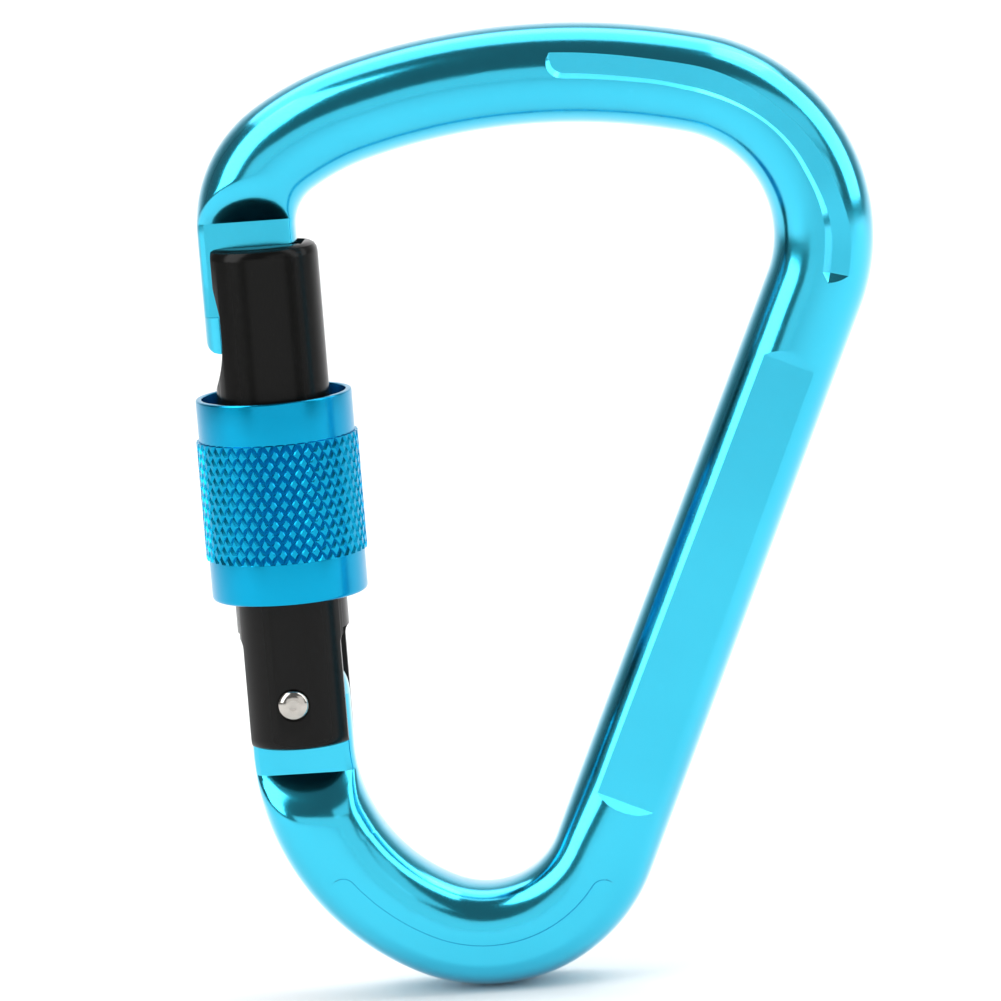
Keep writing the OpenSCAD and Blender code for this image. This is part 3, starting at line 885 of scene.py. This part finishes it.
def slot_cutter():
    """The slot for the nose's tongue. Its slope runs clear of the tongue's sloping inner side."""
    slope = (TONGUE_IN[1] - TIP_IN[1]) / (TONGUE_IN[0] - TIP_IN[0])
    low = TONGUE_IN[1] - SLOT_CLEAR * math.hypot(1, slope)
    return prism("nose_slot", [(-PAST, SLOT_FLOOR), (SLOT_X, SLOT_FLOOR),
                               (SLOT_X, low + (SLOT_X - TONGUE_IN[0]) * slope),
                               (SLOT_BACK, low + (SLOT_BACK - TONGUE_IN[0]) * slope),
                               (SLOT_BACK, ABOVE), (-PAST, ABOVE)], -SLOT, SLOT)


def hollow_cutter():
    """The hollow for the nose's head: an arc that runs out below, and a step above."""
    bend = [(HOLLOW_X - HOLLOW_R + HOLLOW_R * math.cos(a), HOLLOW_MID + HOLLOW_R * math.sin(a))
            for a in np.radians(np.linspace(-40, 0, 13))]
    return prism("hollow", [(-PAST, bend[0][1])] + bend
                 + [(HOLLOW_X, HOLLOW_STRAIGHT), (MOUTH_X, MOUTH_LOW), (MOUTH_X, ABOVE),
                    (-PAST, ABOVE)], -PAST, PAST)


# %% Cutters for the hinge's end
FORK_TOP, FORK_FLAT, FORK_ROUND = 7.7, 5.4, 1.6
WELL_R, WELL_TOP = 2.25, 27.35
PIN_R, SEAT_R, SEAT_Y = 1.6, 1.83, 5.9


def side_cutter(side):
    """A flat on one side of the fork, with a round run-out."""
    arc = [(side * (FORK_FLAT + FORK_ROUND - FORK_ROUND * math.cos(a)),
            FORK_TOP - FORK_ROUND + FORK_ROUND * math.sin(a))
           for a in np.radians(np.linspace(0, 90, 9))]
    return prism(f"side_{side}", [(side * FORK_FLAT, -PAST)] + arc
                 + [(side * PAST, FORK_TOP), (side * PAST, -PAST)], -PAST, PAST)


def drill(name, radius, start, end, axis="z"):
    """A round cutter along z or y, in millimetres from the pin."""
    return turned(name, [(0, start, 0), (radius, start, 0), (radius, end, 0), (0, end, 0)], 48, axis)


fork = prism("fork", [(-PAST, -PAST), (PAST, -PAST), (PAST, FORK_TOP), (-PAST, FORK_TOP)],
             -SLOT, SLOT)
well = drill("well", WELL_R, FORK_TOP - 1, WELL_TOP)
pin_hole = drill("pin_hole", PIN_R, -PAST, PAST, "y")
head_seats = [drill(f"seat_{end}", SEAT_R, end * SEAT_Y, end * PAST, "y") for end in (-1, 1)]

# %% Mill the barrel
cut(barrel, slot_cutter(), hollow_cutter(), fork, side_cutter(-1), side_cutter(1), well, pin_hole,
    *head_seats)
barrel.name = "black_gate"
outward(barrel)
break_edges(barrel, 0.16)
outward(barrel)
finish_piece(barrel, black_skin, "gate", ["gate_barrel"])

# %% [markdown]
# ## The rivet
#
# The hinge is a steel rivet, peened to a low dome at both ends. Peening leaves a small flat in the
# middle of the dome and a faint ring round it.

# %% The rivet
RIVET_HEAD = [(PIN_R, SEAT_Y), (1.7, 5.92), (1.72, 6.06), (1.62, 6.3), (1.42, 6.49), (1.12, 6.63),
              (0.76, 6.72), (0.5, 6.745), (0.42, 6.72)]
FRONT_FLAT, BACK_FLAT = 6.74, 6.725                # the peened flats at the two ends
rivet = turned("hinge_rivet", [
    (0, -FRONT_FLAT, 0), *[(r, -h, 0) for r, h in reversed(RIVET_HEAD)],
    *[(r, h, 0) for r, h in RIVET_HEAD], (0, BACK_FLAT, 0)], 64, "y")
finish_piece(rivet, rivet_steel, "gate", ["gate_rivet"], math.radians(40))

# %% [markdown]
# ## The plunger, its spring and the stop ring
#
# These sit inside the gate and the sleeve. The plunger is turned. The stop ring is a snap ring, a
# square wire bent to a circle with a gap, so that it can be sprung into its groove.

# %% The plunger
POINT_R, POINT_LOW, POINT_TOP = 1.6, 3.8, 5.4      # its round point rides on the tail
FLANGE_R, FLANGE_LOW, FLANGE_TOP = 2.1, 8.3, 10.7
GUIDE_R, GUIDE_TOP = 1.2, 13.7                     # its guide stands inside the spring
plunger = turned("spring_plunger_pin", [
    (0, POINT_LOW, 0), (0.62, 3.92, 0), (1.13, 4.27, 0), (1.48, 4.79, 0), (POINT_R, POINT_TOP, 0),
    (POINT_R, FLANGE_LOW, 0.1), (FLANGE_R, FLANGE_LOW, 0.15), (FLANGE_R, FLANGE_TOP, 0.15),
    (GUIDE_R, FLANGE_TOP, 0.05), (GUIDE_R, GUIDE_TOP, 0.3), (0, GUIDE_TOP, 0)], 48)
finish_piece(plunger, spring_steel, "plunger", ["spring_plunger"])

# %% The stop ring
RING_IN, RING_OUT, RING_LOW, RING_HIGH, RING_ROUND = 6.3, 7.4, 12.7, 13.7, 0.12
RING_ENDS = (100, 440)         # the wire's two ends, in degrees: a gap of 20 is left


def snap_ring():
    """A square wire with broken edges, bent round and left open."""
    corners = [(RING_IN, RING_LOW), (RING_OUT, RING_LOW), (RING_OUT, RING_HIGH),
               (RING_IN, RING_HIGH)]
    section = rounded([(r, z, RING_ROUND) for r, z in corners], 2)
    angles = np.radians(np.linspace(*RING_ENDS, 97))
    points = [(r * math.cos(a), r * math.sin(a), z) for a in angles for r, z in section]
    size = len(section)
    faces = tube_faces(len(angles), size)
    faces += [tuple(range(size)), tuple(range((len(angles) - 1) * size, len(angles) * size))]
    obj = mesh_object("stop_ring_wire", points, faces)
    outward(obj)
    return obj


finish_piece(snap_ring(), spring_steel, "stop_ring", ["sleeve_stop_ring"])

# %% [markdown]
# ## The spring, as a Geometry Nodes tree
#
# A coil spring is a wire that follows a rule: so far round, so far up, with the end coils laid
# close. A node tree can state that rule once. The line's points are moved onto the helix by their
# own index, and a wire profile is then swept along it.

# %% Tools for building trees
def new_tree(name, numbers):
    """An empty Geometry Nodes tree with named number inputs and one material input."""
    tree = bpy.data.node_groups.new(name, "GeometryNodeTree")
    tree.interface.new_socket("Geometry", in_out="OUTPUT", socket_type="NodeSocketGeometry")
    sockets = {}
    for label, kind in numbers.items():
        sockets[label] = tree.interface.new_socket(label, in_out="INPUT", socket_type=kind)
    given = tree.nodes.new("NodeGroupInput")
    result = tree.nodes.new("NodeGroupOutput")
    return tree, {label: s.identifier for label, s in sockets.items()}, given, result


def node(tree, kind, links=None, **settings):
    """A node with its settings, and its inputs set or linked by name or number."""
    made = tree.nodes.new(kind)
    for key, value in settings.items():
        setattr(made, key, value)
    for key, value in (links or {}).items():
        socket = made.inputs[key]
        if isinstance(value, bpy.types.NodeSocket):
            tree.links.new(value, socket)
        else:
            socket.default_value = value
    return made


def math_node(tree, operation, a, b=0.0, c=0.0):
    """The result of one sum in the tree."""
    return node(tree, "ShaderNodeMath", {0: a, 1: b, 2: c}, operation=operation).outputs[0]


def run_tree(name, tree, ids, values):
    """Runs a tree on an empty mesh, and returns the result as a plain mesh object."""
    holder = new_object(name + "_maker", bpy.data.meshes.new(name + "_empty"))
    modifier = holder.modifiers.new("tree", "NODES")
    modifier.node_group = tree
    for label, value in values.items():
        modifier[ids[label]] = value
    graph = bpy.context.evaluated_depsgraph_get()
    mesh = bpy.data.meshes.new_from_object(holder.evaluated_get(graph))
    holder.modifiers.clear()
    bpy.data.objects.remove(holder)
    return new_object(name, mesh)


# %% The spring's tree
SPRING_LOW, SPRING_TOP = 10.75, 27.25
SPRING = {"Coils": 9, "Radius": 1.75 * MM, "Wire": 0.6 * MM, "Low": SPRING_LOW * MM,
          "Length": (SPRING_TOP - SPRING_LOW) * MM}
STEPS = 32.0                   # points on each coil
CLOSED_PITCH = 1.05            # rise of a close coil, in wires


def spring_tree():
    """A coil spring whose two end coils are closed."""
    tree, ids, given, result = new_tree("coil_spring", {
        "Coils": "NodeSocketInt", "Radius": "NodeSocketFloat", "Wire": "NodeSocketFloat",
        "Low": "NodeSocketFloat", "Length": "NodeSocketFloat", "Finish": "NodeSocketMaterial"})
    g = given.outputs
    count = math_node(tree, "MULTIPLY", g["Coils"], STEPS)
    line = node(tree, "GeometryNodeMeshLine", {"Count": math_node(tree, "ADD", count, 1.0)})
    index = node(tree, "GeometryNodeInputIndex").outputs[0]
    turns = math_node(tree, "DIVIDE", index, STEPS)
    angle = math_node(tree, "MULTIPLY", turns, 2 * math.pi)
    # one close coil at each end, and the rest of the length shared by the open coils
    after = math_node(tree, "SUBTRACT", turns, math_node(tree, "SUBTRACT", g["Coils"], 1.0))
    close = math_node(tree, "ADD", math_node(tree, "MINIMUM", turns, 1.0),
                      math_node(tree, "MAXIMUM", after, 0.0))
    pitch = math_node(tree, "MULTIPLY", g["Wire"], CLOSED_PITCH)
    room = math_node(tree, "SUBTRACT", g["Length"],
                     math_node(tree, "MULTIPLY_ADD", pitch, 2.0, g["Wire"]))
    open_pitch = math_node(tree, "DIVIDE", room, math_node(tree, "SUBTRACT", g["Coils"], 2.0))
    rise = math_node(tree, "ADD", math_node(tree, "MULTIPLY", close, pitch),
                     math_node(tree, "MULTIPLY", math_node(tree, "SUBTRACT", turns, close),
                               open_pitch))
    height = math_node(tree, "ADD", math_node(tree, "ADD", rise, g["Low"]),
                       math_node(tree, "MULTIPLY", g["Wire"], 0.5))
    place = node(tree, "ShaderNodeCombineXYZ", {
        0: math_node(tree, "MULTIPLY", g["Radius"], math_node(tree, "COSINE", angle)),
        1: math_node(tree, "MULTIPLY", g["Radius"], math_node(tree, "SINE", angle)), 2: height})
    moved = node(tree, "GeometryNodeSetPosition",
                 {"Geometry": line.outputs[0], "Position": place.outputs[0]})
    wire = node(tree, "GeometryNodeMeshToCurve", {"Mesh": moved.outputs[0]})
    round_wire = node(tree, "GeometryNodeCurvePrimitiveCircle", {
        "Resolution": 10, "Radius": math_node(tree, "MULTIPLY", g["Wire"], 0.5)})
    swept = node(tree, "GeometryNodeCurveToMesh", {
        "Curve": wire.outputs[0], "Profile Curve": round_wire.outputs[0], "Fill Caps": True})
    real = node(tree, "GeometryNodeRealizeInstances", {0: swept.outputs[0]})
    dressed = node(tree, "GeometryNodeSetMaterial", {"Geometry": real.outputs[0],
                                                     "Material": g["Finish"]})
    tree.links.new(dressed.outputs[0], result.inputs[0])
    return tree, ids


# %% Run the spring's tree
coil_tree, coil_ids = spring_tree()
spring = run_tree("gate_spring_coil", coil_tree, coil_ids, {**SPRING, "Finish": spring_steel})
spring.data.transform(Matrix.Translation(pin))
outward(spring)
finish_piece(spring, spring_steel, "gate", ["gate_spring"])
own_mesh(spring)

# %% [markdown]
# ## The sleeve
#
# The locking sleeve is turned with two smooth bands, and between them a diamond knurl is rolled in.
# A knurl is one small pyramid repeated in staggered rows. The tree makes a single four-sided
# pyramid with a flattened top, sets it on every point of a staggered grid, joins the copies where
# they touch, trims the sheet to the band, and rolls it into a ring. Modelling the pyramids, and not
# painting them with bump, is what makes the band sparkle and gives it a true outline.

# %% The sleeve's body
SLEEVE_LOW, SLEEVE_TOP, SLEEVE_R = 11.5, 33.9, 8.619
BAND_LOW, BAND_TOP, BAND_R, BAND_SLOPE = 16.15, 29.25, SLEEVE_R - 0.33, 0.25
WIDE_R, WIDE_LOW, BORE_R = 7.969, 27.7, 7.05       # the bore is wider at the sleeve's top
FOOT_R, GROOVE_R, GROOVE_LOW, GROOVE_TOP = 6.9, 7.5, 12.6, 13.8
sleeve_body = turned("sleeve_body", [
    (FOOT_R, SLEEVE_LOW, 0.15), (SLEEVE_R, SLEEVE_LOW, 0.5), (SLEEVE_R, BAND_LOW, 0.12),
    (BAND_R, BAND_LOW + BAND_SLOPE, 0), (BAND_R, BAND_TOP - BAND_SLOPE, 0),
    (SLEEVE_R, BAND_TOP, 0.12), (SLEEVE_R, SLEEVE_TOP, 0.22), (WIDE_R, SLEEVE_TOP, 0.12),
    (WIDE_R, WIDE_LOW, 0.1), (BORE_R, WIDE_LOW, 0.15), (BORE_R, GROOVE_TOP, 0.05),
    (GROOVE_R, GROOVE_TOP, 0.05), (GROOVE_R, GROOVE_LOW, 0.05), (FOOT_R, GROOVE_LOW, 0.1)], 156)
print("sleeve, mm:", 2 * SLEEVE_R, "across,", round(SLEEVE_TOP - SLEEVE_LOW, 2), "high")

# %% The knurl's tree
KNURL = {"Radius": 8.56 * MM, "Around": 44, "Rows": 13, "Low": BAND_LOW * MM,
         "High": BAND_TOP * MM, "Height": 0.36 * MM, "Top": 0.5, "Depth": 0.35 * MM}
EDGE, WELD = 1e-6, 2e-6        # metres: how near the band's edge counts as on it, and what is merged


def knurl_tree():
    """A band of staggered flat-topped pyramids, closed on its inside."""
    tree, ids, given, result = new_tree("diamond_knurl", {
        "Radius": "NodeSocketFloat", "Around": "NodeSocketInt", "Rows": "NodeSocketInt",
        "Low": "NodeSocketFloat", "High": "NodeSocketFloat", "Height": "NodeSocketFloat",
        "Top": "NodeSocketFloat", "Depth": "NodeSocketFloat", "Finish": "NodeSocketMaterial"})
    g = given.outputs
    wide = math_node(tree, "DIVIDE", math_node(tree, "MULTIPLY", g["Radius"], 2 * math.pi),
                     g["Around"])
    tall = math_node(tree, "DIVIDE", math_node(tree, "SUBTRACT", g["High"], g["Low"]),
                     math_node(tree, "SUBTRACT", g["Rows"], 1.0))
    # one diamond with a flat raised top
    square = node(tree, "GeometryNodeMeshCircle", {"Vertices": 4, "Radius": 0.5},
                  fill_type="NGON")
    raised = node(tree, "GeometryNodeExtrudeMesh", {
        "Mesh": square.outputs[0], "Offset Scale": g["Height"], "Individual": False})
    shrunk = node(tree, "GeometryNodeScaleElements", {
        "Geometry": raised.outputs[0], "Selection": raised.outputs[1], "Scale": g["Top"]})
    # a staggered grid of them: even rows, and odd rows half a diamond along
    index = node(tree, "GeometryNodeInputIndex").outputs[0]
    row = math_node(tree, "FLOOR", math_node(tree, "DIVIDE", index, g["Around"]))
    column = math_node(tree, "MODULO", index, g["Around"])
    shift = math_node(tree, "MULTIPLY", math_node(tree, "MODULO", row, 2.0), 0.5)
    points = node(tree, "GeometryNodeMeshLine", {
        "Count": math_node(tree, "MULTIPLY", g["Around"], g["Rows"])})
    place = node(tree, "ShaderNodeCombineXYZ", {
        0: math_node(tree, "MULTIPLY", math_node(tree, "ADD", column, shift), wide),
        1: math_node(tree, "MULTIPLY_ADD", row, tall, g["Low"])})
    spots = node(tree, "GeometryNodeSetPosition",
                 {"Geometry": points.outputs[0], "Position": place.outputs[0]})
    size = node(tree, "ShaderNodeCombineXYZ",
                {0: wide, 1: math_node(tree, "MULTIPLY", tall, 2.0), 2: 1.0})
    copies = node(tree, "GeometryNodeInstanceOnPoints", {
        "Points": spots.outputs[0], "Instance": shrunk.outputs[0], "Scale": size.outputs[0]})
    sheet = node(tree, "GeometryNodeRealizeInstances", {0: copies.outputs[0]})
    # trim to the band, then roll the flat sheet round the sleeve
    flat = node(tree, "GeometryNodeInputPosition").outputs[0]
    xyz = node(tree, "ShaderNodeSeparateXYZ", {0: flat})
    held = math_node(tree, "MINIMUM", math_node(tree, "MAXIMUM", xyz.outputs[1], g["Low"]),
                     g["High"])
    angle = math_node(tree, "DIVIDE", xyz.outputs[0], g["Radius"])

    def roll(geometry, radius):
        """The flat sheet rolled up, each point at a radius of its own."""
        spot = node(tree, "ShaderNodeCombineXYZ", {
            0: math_node(tree, "MULTIPLY", radius, math_node(tree, "COSINE", angle)),
            1: math_node(tree, "MULTIPLY", radius, math_node(tree, "SINE", angle)), 2: held})
        return node(tree, "GeometryNodeSetPosition",
                    {"Geometry": geometry, "Position": spot.outputs[0]}).outputs[0]

    outer = roll(sheet.outputs[0], math_node(tree, "ADD", g["Radius"], xyz.outputs[2]))
    # the inside of the ring: the same sheet, sunk except along its two edges, and turned over
    above = math_node(tree, "GREATER_THAN", held, math_node(tree, "ADD", g["Low"], EDGE))
    below = math_node(tree, "LESS_THAN", held, math_node(tree, "SUBTRACT", g["High"], EDGE))
    sunk = math_node(tree, "MULTIPLY", g["Depth"], math_node(tree, "MULTIPLY", above, below))
    inner = node(tree, "GeometryNodeFlipFaces", {
        0: roll(sheet.outputs[0], math_node(tree, "SUBTRACT", g["Radius"], sunk))})
    both = node(tree, "GeometryNodeJoinGeometry")
    tree.links.new(inner.outputs[0], both.inputs[0])
    tree.links.new(outer, both.inputs[0])
    joined = node(tree, "GeometryNodeMergeByDistance",
                  {"Geometry": both.outputs[0], "Distance": WELD})
    dressed = node(tree, "GeometryNodeSetMaterial",
                   {"Geometry": joined.outputs[0], "Material": g["Finish"]})
    tree.links.new(dressed.outputs[0], result.inputs[0])
    return tree, ids


# %% Run the knurl's tree
diamond_tree, diamond_ids = knurl_tree()
knurl = run_tree("knurl_band", diamond_tree, diamond_ids, {**KNURL, "Finish": blue_skin})
knurl.data.transform(Matrix.Translation(pin))
print("knurl band:", len(knurl.data.polygons), "faces")

# %% Join the sleeve
def join(target, other):
    """Adds the other object's mesh to the target's own."""
    bm = bmesh.new()
    bm.from_mesh(target.data)
    bm.from_mesh(other.data)
    bpy.data.objects.remove(other)
    bm.to_mesh(target.data)
    bm.free()


break_edges(knurl, 0.13, angle=12, segments=1)
join(sleeve_body, knurl)
sleeve_body.name = "screw_sleeve"
finish_piece(sleeve_body, blue_skin, "sleeve", ["locking_sleeve"],
             math.radians(24))

# %% [markdown]
# ## Floor and backdrop
#
# The carabiner stands in a plain white sweep: a floor that curves up behind into a wall, so there is
# no horizon line.

# %% The white sweep
CLEAR = 0.0002                 # metres, as are the next: the floor lies just under the carabiner
FLOOR_FRONT, FLOOR_BACK, SWEEP_R, WALL_TOP, HALF_WIDTH = -1.6, 0.5, 0.6, 2.4, 2.5


def sweep_floor():
    """The sweep, as one curved sheet. Gives the floor's height."""
    low = cad_box[0].z - CLEAR
    material, tree, shader = new_material("studio_white")
    paint = ramp(tree, noise(tree, 4.0, 2.0), [(0.3, (0.86, 0.86, 0.87)), (0.7, (0.88, 0.88, 0.88))])
    tree.links.new(paint, shader.inputs["Base Color"])
    shader.inputs["Roughness"].default_value = 0.7
    shader.inputs["Specular IOR Level"].default_value = 0.2
    profile = [(FLOOR_FRONT, low), (FLOOR_BACK, low)]
    profile += [(FLOOR_BACK + SWEEP_R * math.sin(a), low + SWEEP_R - SWEEP_R * math.cos(a))
                for a in np.radians(np.linspace(8, 90, 14))]
    profile += [(FLOOR_BACK + SWEEP_R, low + WALL_TOP)]
    points = [(x, y, z) for y, z in profile for x in (-HALF_WIDTH, HALF_WIDTH)]
    faces = [(2 * i, 2 * i + 1, 2 * i + 3, 2 * i + 2) for i in range(len(profile) - 1)]
    mesh = bpy.data.meshes.new("studio_sweep")
    mesh.from_pydata(points, [], faces)
    mesh.materials.append(material)
    mesh.polygons.foreach_set("use_smooth", [True] * len(mesh.polygons))
    obj = new_object("studio_sweep", mesh)
    return low


floor_z = sweep_floor()
print("floor at", round(floor_z * 1000, 2), "mm")

# %% [markdown]
# ## Light
#
# Polished metal shows its surroundings more than its own colour, so the lights are large soft boxes
# placed for what they look like in the metal. The one overhead draws the bright line along the top
# of each bar, and the two high ones at the sides draw the broad pale bands. A long low one in front
# fills the flats that face the camera, a weak one above it keeps the curves beside them from going
# black, and the gaps between the boxes are the dark bands. The last box lights only the sweep behind.

# %% Studio lights
def soft_box(name, place, aim, width, height, power):
    """A rectangular light at a place, turned to face its aim. Sizes in metres, power in watts."""
    data = bpy.data.lights.new(name, "AREA")
    data.shape = "RECTANGLE"
    data.size, data.size_y = width, height
    data.energy = power
    obj = new_object(name, data)
    obj.location = place
    obj.rotation_mode = "QUATERNION"
    obj.rotation_quaternion = (Vector(aim) - Vector(place)).to_track_quat("-Z", "Y")
    print(f"{name}: {width} by {height} m, {power} W")


middle = (cad_box[0] + cad_box[1]) / 2


def polar(turn, rise, distance):
    """A place seen from the carabiner at a turn to the right of the front, and a rise."""
    a, b = math.radians(turn), math.radians(rise)
    return middle + distance * Vector((math.sin(a) * math.cos(b), -math.cos(a) * math.cos(b),
                                       math.sin(b)))


def beside(x, y, z):
    """A place in metres from the box's middle across and up, and from the origin in depth."""
    return middle.x + x, y, middle.z + z


soft_box("overhead", beside(-0.1, 0.23, 0.9), beside(-0.1, 0.08, 0), 1.5, 0.7, power=5.6)
soft_box("left", polar(-60, 33, 1.0), middle, 0.6, 1.05, power=7.0)
soft_box("right", polar(92, 38, 1.0), middle, 0.75, 1.4, power=9.0)
soft_box("front_low", polar(12, 6, 1.1), middle, 1.9, 0.5, power=2.8)
soft_box("front_high", polar(38, 27, 1.1), middle, 0.8, 0.35, power=0.75)
soft_box("back", beside(0, 0.55, 0.9), beside(0, 0.9, -0.1), 1.6, 0.6, power=3.3)

# %% The room's own light, and the view's
ROOM_LIGHT = 0.17
world = bpy.data.worlds.new("studio")
bpy.context.scene.world = world
world.use_nodes = True
room = world.node_tree.nodes["Background"]
room.inputs["Color"].default_value = (1, 1, 1, 1)
room.inputs["Strength"].default_value = ROOM_LIGHT
bpy.context.scene.view_settings.view_transform = "Standard"
print("room light", ROOM_LIGHT)

# %% [markdown]
# ## Camera
#
# The camera looks from a little above and to the right, with a slight tilt. A long lens keeps the
# outline true, and the small turn still shows the roundness of the bar.

# %% The camera
AIM = to_frame((24.07, 0.0, 20.27))
DISTANCE, LENS, SENSOR = 0.685, 223.7, 36.0
ELEVATION, AZIMUTH, ROLL = (math.radians(a) for a in (9.09, 5.02, -4.62))
back = Vector((math.sin(AZIMUTH) * math.cos(ELEVATION), -math.cos(AZIMUTH) * math.cos(ELEVATION),
               math.sin(ELEVATION)))
right = Vector((0, 0, 1)).cross(back).normalized()
up = back.cross(right)
turned_right = math.cos(ROLL) * right + math.sin(ROLL) * up
turned_up = -math.sin(ROLL) * right + math.cos(ROLL) * up
camera_data = bpy.data.cameras.new("camera")
camera_data.lens = LENS
camera_data.sensor_width = SENSOR
camera_data.clip_start, camera_data.clip_end = 0.05, 20.0
camera = new_object("camera", camera_data)
basis = Matrix((turned_right, turned_up, back)).transposed().to_4x4()
basis.translation = Vector(AIM) + back * DISTANCE
camera.matrix_world = basis
bpy.context.scene.camera = camera
print("camera at", [round(v, 3) for v in basis.translation])
